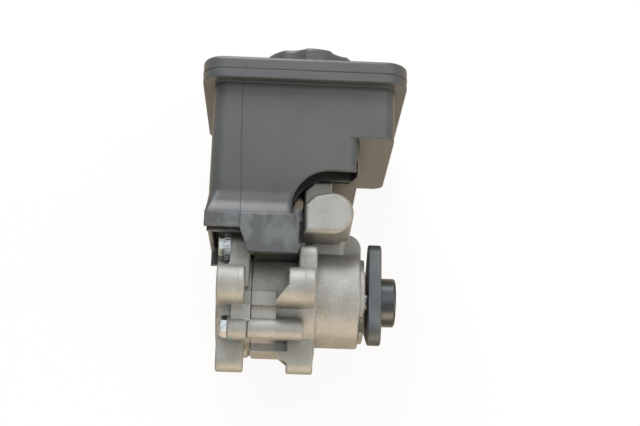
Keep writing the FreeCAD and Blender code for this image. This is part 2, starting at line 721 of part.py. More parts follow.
def lug(name, outline, start, length):
    """A cast lug along the shaft with rounded ends."""
    body = padded(name, "YZ_Plane", outline, start, length)
    return blend(body, level("x", start, f"{start} + {length}"), "cast_round")


def stud_boss(name, radius, start, length, side):
    """A round boss around a lower bolt, with rounded ends."""
    end = f"({start} + {length})"
    edge = "cast_round"
    return turned(name, "x", [
        (start, "0"), (end, "0"), (end, f"{radius} - {edge}", edge), (f"{end} - {edge}", radius),
        (f"{start} + {edge}", radius, edge), (start, f"{radius} - {edge}")], ("0", side, "-bolt_z"))


def web(name, outline, top, foot):
    """Sloping web behind a front lug: the lug's own outline, cut along a slope between two heights."""
    start = f"({lug_rear} - web_length)"
    end = f"({lug_rear} + 2 * cast_round)"
    stem = padded(name + "Stem", "YZ_Plane", outline, start, "web_length + 2 * cast_round")
    wedge = padded(name + "Wedge", "XZ_Plane", [(start, top), (end, top), (end, foot), (lug_rear, foot)],
                   "side_y - side_lug_radius", "side_lug_radius + foot_radius - side_y")
    return shared(name, stem, wedge)


def lug_bores():
    """The two bracket bolt holes, each in one line through front and rear lug."""
    length = f"{lug_front} - {rear_lug_rear} + 2"
    return [rod("LugBore", "x", "lug_bore", f"{rear_lug_rear} - 1", length, centre)
            for centre in (("foot_y", "foot_z"), ("side_y", "side_z"))]


def chamber_sides(name, start, length):
    """Ridge and flat flank on either side of the chamber, which gasket and cover carry on."""
    ridge = padded(name + "Ridge", "YZ_Plane", rectangle(
        "-ridge_reach", "-ridge_bottom", "ridge_reach", "-ridge_top"), start, length)
    blend(ridge, straight("x"), "cast_round / 2")
    flank = padded(name + "Flank", "YZ_Plane", rectangle(
        "-flank_reach", "-bolt_z", "flank_reach", "-ridge_bottom"), start, length)
    return [ridge, flank]


def valve_boss():
    """Boss across the housing for the flow control valve, closed and rounded at the lug side."""
    left, right = "(valve_x - valve_left)", "(valve_x + valve_round)"
    low, high = "(valve_z - valve_round)", "(valve_z + valve_round)"
    body = padded("ValveBoss", "XZ_Plane", [
        (left, low), ("valve_x", low, "valve_round"), (right, "valve_z", "valve_round"), ("valve_x", high),
        (f"{left} + valve_corner_run", "valve_z + valve_corner_top"), (left, "valve_z + valve_corner_foot")],
        "valve_front", "valve_length")
    blend(body, level("y", "valve_front"), "valve_end_round")
    seat = padded("ValvePedestal", "XZ_Plane", rectangle(
        f"{left} + pedestal_inset", "pedestal_root", f"{right} - pedestal_inset", f"{low} + pedestal_inset"),
        "pedestal_front", "pedestal_length")
    return [body, blend(seat, straight("z"), "pedestal_round")]


def suction_tower():
    """Upright block behind the valve boss that carries the round suction inlet."""
    left = "(valve_x - valve_left)"
    right = f"({left} + tower_width)"
    tower = padded("SuctionTower", "XZ_Plane", [
        (left, "valve_z"), (right, "valve_z"), (right, "tower_top"), (f"{left} + tower_corner", "tower_top"),
        (left, "tower_top - tower_corner")], "tower_front", "inlet_y - tower_front")
    blend(tower, level("y", "tower_front"), "cast_round")
    stub = turned("InletStub", "z", [
        ("valve_z", "0"), ("valve_z", "inlet_radius"),
        (f"{inlet_top} - cast_round", "inlet_radius", "-cast_round"),
        (inlet_top, "inlet_radius - cast_round"), (inlet_top, "0")], ("inlet_x", "inlet_y", "0"))
    return [tower, stub]


def housing_barrel():
    """Turned form of the housing: nose, barrel and pump chamber."""
    edge = "cast_round"
    return turned("HousingBarrel", "x", [
        (split, "0"), (nose_front, "0"), (nose_front, "nose_radius - nose_round", "nose_round"),
        (f"{nose_front} - nose_round", "nose_radius"), (barrel_front, "nose_radius"),
        (barrel_front, f"barrel_radius - {edge}", edge), (f"{barrel_front} - {edge}", "barrel_radius"),
        (chamber_front, "barrel_radius"), (chamber_front, f"chamber_radius - {edge}", edge),
        (f"{chamber_front} - {edge}", "chamber_radius"), (split, "chamber_radius")])


def front_housing():
    """Die-cast aluminium housing: barrel, chamber, lugs, ears, bolt tubes, valve boss and ports."""
    foot = tongue("foot_y", "foot_z", "foot_radius", "-lug_root", "up")
    side_lug = tongue("side_y", "side_z", "side_lug_radius", "-lug_root", "right")
    pieces = [
        housing_barrel(), lug("FrontFoot", foot, lug_rear, "lug_length"),
        lug("FrontSideLug", side_lug, lug_rear, "lug_length"),
        web("FootWeb", foot, "-belly_depth", "foot_z - foot_web_reach"),
        web("SideWeb", side_lug, "side_z - side_lug_radius", "side_z - side_web_reach")]
    for name, side in (("Near", "-bolt_y"), ("Far", "bolt_y")):
        ear = tongue(side, "ear_z", "ear_radius", "side_z", "down")
        pieces.append(lug(name + "Ear", ear, ear_rear, "ear_length"))
        pieces.append(stud_boss(name + "Tube", "tube_radius", boss_joint, "boss_overlap + tube_length",
                                side))
    pieces += chamber_sides("Housing", split, f"{lug_rear} - web_length - ({split}) + cast_round")
    belly = rectangle("-belly_half_width", "-belly_depth", "belly_half_width", "0")
    pieces.append(padded("Belly", "YZ_Plane", belly, split, "chamber_length"))
    pieces += valve_boss()
    outlet = padded("OutletBoss", "XZ_Plane", tongue(
        "outlet_x", "outlet_z", "outlet_radius", "pedestal_root", "down"), "outlet_front", "outlet_length")
    pieces.append(blend(outlet, level("y", "outlet_front", "outlet_front + outlet_length"), "cast_round"))
    pieces += suction_tower()
    return node(cut("FrontHousing", fused("HousingCasting", pieces), housing_tools()), "front_housing")


def housing_tools():
    """Everything that is bored, drilled or recessed in the front housing."""
    tools = [housing_bore()] + lug_bores()
    for turn in (45, 135, 225, 315):
        centre = (f"nose_radius * cos({turn})", f"nose_radius * sin({turn})")
        tools.append(rod("NosePocket", "x", "nose_pocket_radius", barrel_front, "nose_length + 1", centre))
    for side in ("-bolt_y", "bolt_y"):
        tools.append(rod("TubeThread", "x", "bolt_radius", f"{boss_joint} - 1",
                         "lower_thread + thread_runout", (side, "-bolt_z")))
        tools.append(rod("SaddleRoom", "x", "saddle_lug_radius + saddle_gap", f"{split} - 1",
                         f"{ear_rear} - ({split}) + 1", (side, "bolt_z")))
    valve_axis = ("valve_x", "valve_z")
    tools.append(rod("ValveBore", "y", "valve_bore", "valve_front + valve_wall", "valve_length", valve_axis))
    tools.append(rod("PlugBore", "y", "plug_radius", plug_face, "plug_length + 1", valve_axis))
    tools.append(rod("OutletBore", "y", "outlet_bore", "outlet_front + outlet_length - outlet_depth",
                     "outlet_depth + 1", ("outlet_x", "outlet_z")))
    inlet = ("inlet_x", "inlet_y")
    tools.append(rod("InletBore", "z", "inlet_bore", f"{inlet_top} - inlet_depth", "inlet_depth + 1", inlet))
    tools.append(rod("SuctionWay", "z", "suction_radius", "valve_z", f"{inlet_top} - valve_z", inlet))
    tools.append(oil_way("SuctionDrilling", "inlet_y"))
    tools.append(oil_way("PressureDrilling", "pressure_way_y"))
    tools.append(rod("OutletWay", "x", "outlet_way_radius", "valve_x", "outlet_x - valve_x",
                     ("outlet_way_y", "outlet_way_z")))
    return tools


def oil_way(name, across):
    """A sloping drilling between the pump chamber, over the front plate, and the valve bore."""
    low_x, low_z = f"({cam_front} + drill_radius)", "(chamber_bore - 2 * drill_radius)"
    bar = doc.addObject("Part::Cylinder", name)
    bind(bar, "Radius", "drill_radius")
    bind(bar, "Height", f"sqrt((valve_x - {low_x})^2 + (valve_z - {low_z})^2)")
    bar.Placement.Rotation = FreeCAD.Rotation(Vector(0, 1, 0), 45)
    bind(bar, "Placement.Rotation.Angle", f"atan((valve_x - {low_x}) / (valve_z - {low_z}))")
    place(bar, (low_x, across, low_z))
    return bar


def cover_ear(name, side):
    """Ear around an upper bolt: flat on top, rounded in front and running down into the side lug."""
    rear_foot = f"({rear_ear_rear} - ear_root)"
    lug_top = "(side_z + side_lug_radius)"
    stem = lug(name + "Stem", tongue(side, "bolt_z", "rear_ear_radius", "side_z", "down"), rear_foot,
               "rear_ear_length + ear_root")
    form = padded(name + "Form", "XZ_Plane", [
        (rear_foot, "side_z"), (rear_ear_front, "side_z"),
        (rear_ear_front, "ear_top - ear_round_drop", "ear_round"),
        (f"{rear_ear_front} - ear_round_run", "ear_top"), (rear_ear_rear, "ear_top"),
        (rear_ear_rear, f"{lug_top} + ear_root", "-ear_root"), (rear_foot, lug_top)],
        f"{side} - 2 * rear_ear_radius", "4 * rear_ear_radius")
    return shared(name, stem, form)


def rear_cover():
    """Die-cast aluminium rear cover with the rear lugs, the ears and the lower bolt bosses."""
    dome = turned("CoverDisc", "x", [
        (cover_rear, "0"), (cover_face, "0"), (cover_face, "chamber_radius"),
        (f"{cover_rear} + cover_round", "chamber_radius", "cover_round"),
        (cover_rear, "chamber_radius - cover_round")])
    pieces = [
        dome, lug("RearFoot", tongue("foot_y", "foot_z", "foot_radius", "-lug_root", "up"), rear_lug_rear,
                  "rear_lug_length"),
        lug("RearSideLug", tongue("side_y", "side_z", "side_lug_radius", "-lug_root", "right"), rear_lug_rear,
            "rear_lug_length")]
    pieces += chamber_sides("Cover", f"({cover_rear} + cover_round)", "cover_depth - cover_round")
    shoulder_y = "(bolt_y + boss_radius - cast_round)"
    pieces.append(block("BossShoulder", (f"{boss_rear} + shoulder_setback", f"-{shoulder_y}", "-bolt_z"), (
        f"{cover_face} - {boss_rear} - shoulder_setback", f"2 * {shoulder_y}", "bolt_z - ridge_bottom")))
    tools = lug_bores()
    hole = "bolt_radius + bolt_clearance"
    for name, side in (("NearCover", "-bolt_y"), ("FarCover", "bolt_y")):
        pieces.append(cover_ear(name + "Ear", side))
        pieces.append(stud_boss(name + "Boss", "boss_radius", boss_rear, "boss_length", side))
        upper, lower = (side, "bolt_z"), (side, "-bolt_z")
        tools.append(rod("EarHole", "x", hole, f"{rear_ear_rear} - 1", "rear_ear_length + 2", upper))
        tools.append(rod("BossHole", "x", hole, f"{boss_rear} - 1", "boss_length + 2", lower))
        tools.append(rod("TubeRoom", "x", "tube_radius + bolt_clearance", boss_joint, "boss_overlap + 1",
                         lower))
        tools.append(rod("HeadRoom", "x", f"{head_corner} + head_room", f"{boss_rear} - cover_depth",
                         "cover_depth", lower))
        tools.append(rod("WasherRoom", "x", "washer_radius + head_room", f"{rear_ear_rear} - cover_depth",
                         "cover_depth", upper))
    spring_floor = f"({cover_face} - disc_spring_height)"
    bush_seat = "(shaft_rear_radius + bush_wall)"
    pocket = f"({bush_rear} - bush_pocket)"
    tools.append(turned("CoverBore", "x", stepped(
        [pocket, bush_rear, bush_rear, spring_floor, spring_floor, f"({cover_face} + 1)"],
        ["shaft_rear_radius", "shaft_rear_radius", bush_seat, bush_seat, "disc_spring_outer",
         "disc_spring_outer"])))
    return node(cut("RearCover", fused("CoverCasting", pieces), tools), "rear_cover")


def ring(name, inner, outer, start, length, at=("0", "0", "0"), axis="x"):
    """A plain ring of rectangular section."""
    end = f"({start}) + ({length})"
    return turned(name, axis, [(start, inner), (end, inner), (end, outer), (start, outer)], at)


def cover_seal():
    """Black gasket between housing and cover, flush with their outer faces."""
    sheet = [rod("GasketDisc", "x", "chamber_radius", cover_face, "gasket_thickness")]
    sheet += chamber_sides("Gasket", cover_face, "gasket_thickness")
    tools = [rod("GasketHole", "x", "gasket_inner", f"{cover_face} - 1", "gasket_thickness + 2")]
    for side in ("-bolt_y", "bolt_y"):
        tools.append(rod("GasketTubeRoom", "x", "tube_radius + bolt_clearance", f"{cover_face} - 1",
                         "gasket_thickness + 2", (side, "-bolt_z")))
    return node(cut("CoverSeal", fused("GasketSheet", sheet), tools), "cover_seal")


def hexagon_bolt(name, head_front, tip, side, up):
    """Zinc-plated bolt along the shaft, with its head toward the rear."""
    head_rear = f"({head_front} - head_height)"
    head = padded(name + "Head", "YZ_Plane", hexagon("head_flats"), head_rear, "head_height", ("0", side, up))
    crown = turned(name + "Crown", "x", [
        (f"{head_rear} - 1", "0"), (f"{head_front} + 1", "0"), (f"{head_front} + 1", "head_flats"),
        (f"{head_rear} + head_crown", head_corner), (head_rear, "head_flats / 2 - crown_inset"),
        (f"{head_rear} - 1", "head_flats / 2 - crown_inset")], ("0", side, up))
    shank = turned(name + "Shank", "x", [
        (f"{head_front} - 1", "0"), (tip, "0"), (tip, "bolt_radius - bolt_point"),
        (f"{tip} - bolt_point", "bolt_radius"), (f"{head_front} - 1", "bolt_radius")], ("0", side, up))
    return fused(name, [shared(name + "Trimmed", head, crown), shank])


def bolts():
    """Two lower bolts that close the cover and two upper bolts that hold the reservoir."""
    tip = f"({boss_joint} + lower_thread)"
    lower = [hexagon_bolt(name, boss_rear, tip, side, "-bolt_z")
             for name, side in (("NearLower", "-bolt_y"), ("FarLower", "bolt_y"))]
    node(group("CoverBolts", lower), "cover_bolts")
    washer_rear = f"({rear_ear_rear} - washer_thickness)"
    for name, side in (("near", "-bolt_y"), ("far", "bolt_y")):
        upper = hexagon_bolt(name.title() + "Upper", washer_rear, f"({rear_ear_front} + upper_grip)",
                             side, "bolt_z")
        node(upper, f"reservoir_bolt_{name}")
        node(serrated_washer(name.title(), washer_rear, side), f"serrated_washer_{name}")
        bush = ring(name.title() + "Sleeve", "bolt_radius", "sleeve_radius", rear_ear_front,
                    f"{ear_rear} - {rear_ear_front}", ("0", side, "bolt_z"))
        node(bush, f"clamp_sleeve_{name}")


def serrated_washer(name, start, side):
    """Thick zinc-plated washer with serrations around its rim."""
    plain = ring(name + "Disc", "bolt_radius", "washer_radius", start, "washer_thickness",
                 ("0", side, "bolt_z"))
    reach = "(washer_radius - washer_tooth)"
    teeth = []
    for index in range(24):
        angle = 15 * index
        tooth = doc.addObject("Part::Box", name + "Notch")
        bind(tooth, "Length", "washer_thickness + 2")
        bind(tooth, "Width", "washer_notch")
        bind(tooth, "Height", "washer_tooth + 1")
        tooth.Placement.Rotation = FreeCAD.Rotation(Vector(1, 0, 0), angle)
        place(tooth, (f"{start} - 1", f"{side} - {reach} * sin({angle})",
                      f"bolt_z + {reach} * cos({angle})"))
        teeth.append(tooth)
    return cut(name + "Washer", plain, [fused(name + "Notches", teeth)])


def shaft_seal():
    """Rubber lip seal: a rim in the housing, a web and a lip on the shaft."""
    lip = "(shaft_mid_radius + running_gap)"
    return node(turned("ShaftSeal", "x", [
        (seal_rear, f"{lip} + seal_wall"), (f"{seal_rear} + seal_wall", lip),
        (seal_front, f"{lip} + seal_wall"),
        (seal_front, "seal_radius"), (seal_rear, "seal_radius"), (seal_rear, "seal_radius - seal_wall"),
        (f"{seal_front} - seal_wall", "seal_radius - seal_wall"),
        (f"{seal_front} - seal_wall", f"{lip} + 2 * seal_wall")]), "shaft_seal")


def bearing():
    """Deep-groove ball bearing: two rings, eight balls and their cage."""
    middle = f"(({bearing_front} + {bearing_rear}) / 2)"
    pitch = "((inner_ring_radius + outer_ring_bore) / 2)"
    groove = doc.addObject("Part::Torus", "RaceGroove")
    groove.Placement.Rotation = TURNS["x"]
    bind(groove, "Radius1", pitch)
    bind(groove, "Radius2", "ball_radius + ball_play")
    place(groove, (middle, "0", "0"))
    outer = ring("OuterRace", "outer_ring_bore", "bearing_radius", bearing_rear, "bearing_width")
    node(cut("OuterRing", outer, [groove]), "bearing_outer_ring")
    inner = ring("InnerRace", "shaft_seat_radius", "inner_ring_radius", bearing_rear, "bearing_width")
    node(cut("InnerRing", inner, [groove]), "bearing_inner_ring")
    balls, pockets = [], []
    for index in range(8):
        angle = 45 * index
        at = (middle, f"{pitch} * cos({angle})", f"{pitch} * sin({angle})")
        balls.append(ball("Ball", "ball_radius", at))
        pockets.append(ball("BallPocket", "ball_radius + ball_play", at))
    node(group("Balls", balls), "bearing_balls")
    band = ring("CageBand", f"{pitch} - cage_half", f"{pitch} + cage_half", f"{middle} - cage_width / 2",
                "cage_width")
    node(cut("Cage", band, pockets), "bearing_cage")


def retaining_ring():
    """Spring steel ring in the groove in front of the bearing, open at the bottom."""
    band = ring("RingBand", "clip_radius - clip_width", "clip_radius", bearing_front, "clip_thickness")
    opening = block("RingOpening", (f"{bearing_front} - 1", "-clip_gap / 2", "-clip_radius - 1"),
                    ("clip_thickness + 2", "clip_gap", "clip_radius"))
    return node(cut("RetainingRing", band, [opening]), "retaining_ring")


def rotor():
    """Sintered steel rotor with ten radial slots and a splined bore."""
    width = "cam_width - 2 * rotor_side_gap"
    rear = f"({cam_rear} + rotor_side_gap)"
    blank = ring("RotorDisc", "shaft_mid_radius", "rotor_radius", rear, width)
    tools = spline_teeth("RotorSpline", "running_gap", "-1")
    for index in range(10):
        angle = 36 * index
        half = "(vane_thickness / 2 + vane_play)"
        slot = doc.addObject("Part::Box", "VaneSlot")
        bind(slot, "Length", "cam_width + 2")
        bind(slot, "Width", f"2 * {half}")
        bind(slot, "Height", "rotor_radius - slot_floor_radius + 2")
        slot.Placement.Rotation = FreeCAD.Rotation(Vector(1, 0, 0), angle)
        floor = "slot_floor_radius"
        place(slot, (f"{cam_rear} - 1", f"-{half} * cos({angle}) - {floor} * sin({angle})",
                     f"{floor} * cos({angle}) - {half} * sin({angle})"))
        centre = (f"-{floor} * sin({angle})", f"{floor} * cos({angle})")
        foot = rod("SlotFoot", "x", "slot_foot_radius", f"{cam_rear} - 1", "cam_width + 2", centre)
        tools += [slot, foot]
    return node(cut("Rotor", blank, [fused("RotorSlots", tools)]), "rotor")


def vanes():
    """Ten hardened vanes, each standing at the cam ring's small radius."""
    tip = "(cam_small_radius - vane_play)"
    for index in range(10):
        angle = 36 * index
        low = f"({tip} - vane_depth)"
        body = padded(f"Vane{index + 1}", "YZ_Plane", [
            ("-vane_thickness / 2", low), ("vane_thickness / 2", low),
            ("vane_thickness / 2", f"{tip} - 0.3"), ("0", tip), ("-vane_thickness / 2", f"{tip} - 0.3")],
            f"{cam_rear} + rotor_side_gap", "cam_width - 2 * rotor_side_gap")
        body.Placement.Rotation = FreeCAD.Rotation(Vector(1, 0, 0), angle)
        node(body, f"vane_{index + 1:02d}")


def cam_ring():
    """Hardened cam ring, round outside, with an oval track that lifts every vane twice a turn."""
    steps = 24
    outline = []
    for index in range(steps):
        angle = 360 * index / steps
        reach = f"(cam_small_radius + cam_lift * sin({angle})^2)"
        outline.append((f"{reach} * cos({angle})", f"{reach} * sin({angle})",
                        "cam_small_radius + cam_lift / 2"))
    track = padded("CamTrack", "YZ_Plane", outline, f"{cam_rear} - 1", "cam_width + 2")
    blank = rod("CamDisc", "x", "chamber_bore", cam_rear, "cam_width")
    pins = dowel_bars("CamDowel", f"{cam_rear} - 1", "cam_width + 2")
    return node(cut("CamRing", blank, [track] + pins), "cam_ring")


def dowel_bars(name, start, length):
    """Two round bars through the cartridge, on either side of the shaft."""
    return [rod(name, "x", "dowel_radius", start, length, (side, "0"))
            for side in ("dowel_pitch", "-dowel_pitch")]


def kidney_ports(name, start, length):
    """Four curved ports between the dowels, as sectors of a ring."""
    tools = []
    for index in range(4):
        turn = 90 * index + value("45 - kidney_span / 2")
        outer = rod(name + "Outer", "x", "kidney_outer", start, length)
        bind(outer, "Angle", "kidney_span")
        outer.Placement.Rotation = FreeCAD.Rotation(Vector(1, 0, 0), turn) * TURNS["x"]
        inner = rod(name + "Inner", "x", "kidney_inner", f"{start} - 1", f"{length} + 2")
        tools.append(cut(name, outer, [inner]))
    return tools


def pressure_plates():
    """Front and rear plates that close the cam ring, with kidney ports and a seal groove each."""
    plates = [("Front", cam_front, "front_plate_thickness", "shaft_seat_radius + shaft_way_gap"),
              ("Rear", cover_face, "rear_plate_thickness", "shaft_mid_radius + shaft_way_gap")]
    seals = []
    for name, start, thickness, bore in plates:
        blank = ring(name + "Disc", bore, "chamber_bore", start, thickness)
        middle = f"({start} + {thickness} / 2)"
        groove = ring(name + "Groove", "chamber_bore - 2 * seal_cord", "chamber_bore + 1",
                      f"{middle} - seal_cord", "2 * seal_cord")
        tools = [groove] + dowel_bars(name + "Dowel", f"{start} - 1", f"{thickness} + 2")
        tools += kidney_ports(name + "Kidney", f"{start} - 1", f"{thickness} + 2")
        node(cut(name + "Plate", blank, tools), f"{name.lower()}_pressure_plate")
        seal = doc.addObject("Part::Torus", name + "Ring")
        seal.Placement.Rotation = TURNS["x"]
        bind(seal, "Radius1", "chamber_bore - seal_cord")
        bind(seal, "Radius2", "seal_cord")
        place(seal, (middle, "0", "0"))
        seals.append(seal)
    node(group("PlateSeals", seals), "plate_seals")
    pins = dowel_bars("Dowel", cover_face, f"{chamber_floor} - ({cover_face})")
    node(group("DowelPins", pins), "dowel_pins")


def rear_bush():
    """Plain bearing bush of the shaft's rear end, and the disc spring that loads the rear plate."""
    node(ring("ShaftBush", "shaft_rear_radius + running_gap", "shaft_rear_radius + bush_wall", bush_rear,
              "bush_length - disc_spring_height"), "shaft_bush")
    low = f"({cover_face} - disc_spring_height)"
    node(turned("DiscSpring", "x", [
        (low, "disc_spring_outer"), (f"{low} + disc_spring_sheet", "disc_spring_outer"),
        (cover_face, "disc_spring_inner"), (f"{cover_face} - disc_spring_sheet", "disc_spring_inner")][::-1]),
        "disc_spring")


def flow_valve():
    """Flow control spool with its spring, the relief valve inside it, and the plug that closes the bore."""
    at = ("valve_x", "0", "valve_z")
    node(cut("FlowSpool", spool_bar(at), spool_bores()), "flow_spool")
    node(ring("ReliefSeat", "relief_hole", "spool_hollow", spool_start, "relief_seat_length", at, "y"),
         "relief_seat")
    ball_y = f"({spool_start} + relief_seat_length + sqrt(relief_ball_radius^2 - relief_hole^2) + ball_lift)"
    node(ball("ReliefBall", "relief_ball_radius", ("valve_x", ball_y, "valve_z")), "relief_ball")
    relief_start = f"({ball_y} + relief_ball_radius + relief_wire)"
    relief_room = f"({spool_start} + {pocket_depth} - relief_wire - {relief_start})"
    node(coil("ReliefSpring", "relief_ball_radius", "relief_wire", f"{relief_room} / relief_turns",
              "relief_turns", ("valve_x", relief_start, "valve_z")), "relief_spring")
    spring_start = "(valve_front + valve_wall + spring_wire)"
    spring_room = f"({spool_start} - spring_wire - {spring_start})"
    node(coil("SpoolSpring", "spring_radius", "spring_wire", f"{spring_room} / spring_turns",
              "spring_turns", ("valve_x", spring_start, "valve_z")), "spool_spring")


def spool_bar(at):
    """Outside of the spool: three lands between two narrow grooves and a wide waist."""
    land = "(valve_bore - spool_play)"
    floor = f"({land} - spool_groove)"
    stations, radii = [spool_start], [land]
    begin = spool_start
    for width in ("spool_ring", "spool_waist", "spool_ring"):
        begin = f"({begin} + spool_land)"
        end = f"({begin} + {width})"
        stations += [begin, begin, end, end]
        radii += [land, floor, floor, land]
        begin = end
    return turned("SpoolBar", "y", stepped(stations + [plug_face], radii + [land]), at)


def spool_bores():
    """Spring pocket of the spool and the cross hole in its waist."""
    waist_middle = f"({spool_start} + 2 * spool_land + spool_ring + spool_waist / 2)"
    return [rod("SpoolPocket", "y", "spool_hollow", f"{spool_start} - 1", f"{pocket_depth} + 1",
                ("valve_x", "valve_z")),
            rod("SpoolVent", "z", "relief_hole", "valve_z - valve_bore - 1", "2 * valve_bore + 2",
                ("valve_x", waist_middle))]


def valve_plug():
    """Hexagon plug that closes the valve bore on the far side, with its rubber ring."""
    end = "(valve_front + valve_length)"
    axis = ("valve_x", "valve_z")
    head = padded("PlugHead", "XZ_Plane", hexagon("plug_flats"), f"{end} + plug_collar", "plug_head",
                  ("valve_x", "0", "valve_z"))
    collar = rod("PlugCollar", "y", "plug_radius + collar_reach", end, "plug_collar", axis)
    stem = rod("PlugStem", "y", "plug_radius", plug_face, "plug_length + 1", axis)
    groove = ring("PlugGroove", "plug_radius - 2 * seal_cord", "plug_radius + 1",
                  f"{plug_face} + plug_land", "2 * seal_cord", ("valve_x", "0", "valve_z"), "y")
    node(cut("ValvePlug", fused("PlugSolid", [stem, collar, head]), [groove]), "valve_plug")
    seal = doc.addObject("Part::Torus", "PlugRing")
    seal.Placement.Rotation = TURNS["y"]
    bind(seal, "Radius1", "plug_radius - seal_cord")
    bind(seal, "Radius2", "seal_cord")
    place(seal, ("valve_x", f"{plug_face} + plug_land + seal_cord", "valve_z"))
    node(seal, "plug_seal")


def tank_outline(inset):
    """Side outline of the tank, from the rim down over shelf, throat and hollow side to the floor."""
    left, right = f"(tank_left + {inset})", f"(tank_right - {inset})"
    reach = f"(arc_radius + {inset})"
    throat = f"(throat_height + {inset})"
    floor = f"(floor_height + {inset})"
    drop = f"({floor} - {arc_z})"
    return [
        (left, floor),
        (f"arc_x - sqrt({reach}^2 - {drop}^2)", floor, f"-{reach}"),
        ("arc_x", throat),
        (f"shelf_x - {inset}", throat), (f"shelf_x - {inset}", f"shelf_height + {inset}"),
        (right, f"shelf_height + {inset}"), (right, "flange_underside"), (left, "flange_underside")]


def upright_corner(edge):
    """Chooses long upright edges at the ends of the tank, not those inside its steps."""
    return straight("z")(edge) and edge.Length > value("tank_round")


def rim_outline(inset):
    """Rectangle of the tank's rim, drawn in by an amount."""
    reach = f"(overhang + {inset})"
    return rectangle(f"tank_left - {reach}", f"tank_front - {reach}",
                     f"tank_right + {reach}", f"tank_back + {reach}")


def tank_shell():
    """Outer and inner solid of the moulded tank."""
    outer = padded("TankOuter", "XZ_Plane", tank_outline("0"), "tank_front", "tank_back - tank_front")
    blend(outer, upright_corner, "tank_round")
    depth = "tank_back - tank_front - 2 * tank_wall"
    inner_body = padded("TankInner", "XZ_Plane", tank_outline("tank_wall"), "tank_front + tank_wall", depth)
    blend(inner_body, upright_corner, "tank_round - tank_wall")
    mouth = padded("TankMouth", "XY_Plane", rim_outline("(-overhang - tank_wall)"),
                   "flange_underside - 1", "seam_height - flange_underside + 2")
    blend(mouth, straight("z"), "tank_round - tank_wall")
    rim = padded("TankRim", "XY_Plane", rim_outline("0"), "flange_underside",
                 "seam_height - flange_underside")
    blend(rim, straight("z"), "rim_round")
    return outer, inner_body, mouth, rim


def part_way(first, last):
    """A place between two others, by the share of the flare's middle."""
    return f"({first} + flare_share * ({last} - {first}))"


def skirt_outline(left, front, back, corner, right):
    """Outline across the skirt, round at its rear corners and cut off straight under the step."""
    return [(f"{left} + {corner}", front), (right, front), (right, back),
            (f"{left} + {corner}", back, corner), (left, f"{back} - {corner}"),
            (left, f"{front} + {corner}", corner)]


def skirt_flare(name, inset, heights, right):
    """Solid inside the flare, from the tank's round corners down to the skirt's sharp ones."""
    body = new_body(name)
    narrow = (f"(tank_left + {inset})", f"(tank_front + {inset})")
    wide = (f"(skirt_left + {inset})", f"(-skirt_reach + {inset})")
    middle = tuple(part_way(first, last) for first, last in zip(narrow, wide))
    back = f"(skirt_reach - {inset})"
    drawings = []
    for corner, height, (left, front) in zip(
            (f"(tank_round - {inset})", "(tank_round / 2)", "skirt_round"), heights, (narrow, middle, wide)):
        drawings.append(sketch(body, "XY_Plane", skirt_outline(left, front, back, corner, right), height))
    loft = body.newObject("PartDesign::AdditiveLoft", name + "Loft")
    loft.Profile = drawings[0]
    loft.Sections = drawings[1:]
    loft.Ruled = True
    return body


def skirt():
    """Flare below the tank walls, open underneath and hollow above the tank's floor."""
    outer = skirt_flare("SkirtOuter", "0", ("flare_top", "flare_middle", "flare_bottom"), step_x)
    under = skirt_flare("SkirtInner", "tank_wall", (
        "floor_height", "(floor_height + flare_bottom) / 2", "flare_bottom - 1"), f"({step_x} + 1)")
    inside = block(
        "SkirtTank", ("tank_left + tank_wall", "tank_front + tank_wall", "floor_height + tank_wall"),
        (f"{step_x} - tank_left", "tank_back - tank_front", "flare_top - floor_height"))
    return cut("Skirt", outer, [under, inside])


def skirt_rails():
    """Two walls on either side under the flare: an outer one and a deeper one behind it."""
    length = f"{step_x} - skirt_left"
    rails = []
    for outer_y, inner_y in (("-skirt_reach", "-skirt_reach + rail_gap"),
                             ("skirt_reach - tank_wall", "far_rail_y")):
        rails.append(block("OuterRail", ("skirt_left", outer_y, "rail_bottom"),
                           (length, "tank_wall", "flare_bottom - rail_bottom")))
        rails.append(block("InnerRail", ("tank_left", inner_y, "skirt_bottom"),
                           (f"{step_x} - tank_left", "tank_wall", "floor_height - skirt_bottom + 1")))
    return rails


def saddle(name, way):
    """One leg of the reservoir: an outer plate and a hollow lug around the threaded bush."""
    near = way < 0
    face = "(skirt_reach + saddle_proud)"
    right = f"({ear_rear} - saddle_setback)"
    upper_right = f"({right} - saddle_step)"
    plate = padded(name + "Plate", "XZ_Plane", [
        ("saddle_left", "flare_bottom"), ("saddle_left", "rail_bottom"),
        ("saddle_left + saddle_slope", "saddle_bottom"), (right, "saddle_bottom"), (right, "skirt_bottom"),
        (upper_right, "skirt_bottom + saddle_step"), (upper_right, "flare_bottom")],
        f"-{face}" if near else f"{face} - saddle_wall", "saddle_wall")
    axis_y = "-bolt_y" if near else "bolt_y"
    start = f"({split} + saddle_gap)"
    length = f"({ear_rear} - {split} - 2 * saddle_gap)"
    pieces = [plate, rod(name + "Tube", "x", "saddle_lug_radius", start, length, (axis_y, "bolt_z"))]
    low_y = "-skirt_reach + 1" if near else "bolt_y"
    for index, at in enumerate((start, f"{start} + {length} - cheek_thickness")):
        tail = tongue(axis_y, "bolt_z", "saddle_lug_radius", "floor_height + 1", "up")
        pieces.append(padded(f"{name}Cheek{index}", "YZ_Plane", tail, at, "cheek_thickness"))
        pieces.append(block(name + "Bridge", (at, low_y, "saddle_bottom + saddle_wall"),
                            ("cheek_thickness", "skirt_reach - bolt_y - 1",
                             "flare_bottom - saddle_bottom - saddle_wall")))
    pieces.append(block(name + "Rib", (start, f"{axis_y} - tank_wall / 2", "bolt_z"),
                        (length, "tank_wall", "floor_height - bolt_z + 1")))
    hole = rod(name + "Hole", "x", "sleeve_radius", f"{start} - 1", f"{length} + 2", (axis_y, "bolt_z"))
    return pieces, hole


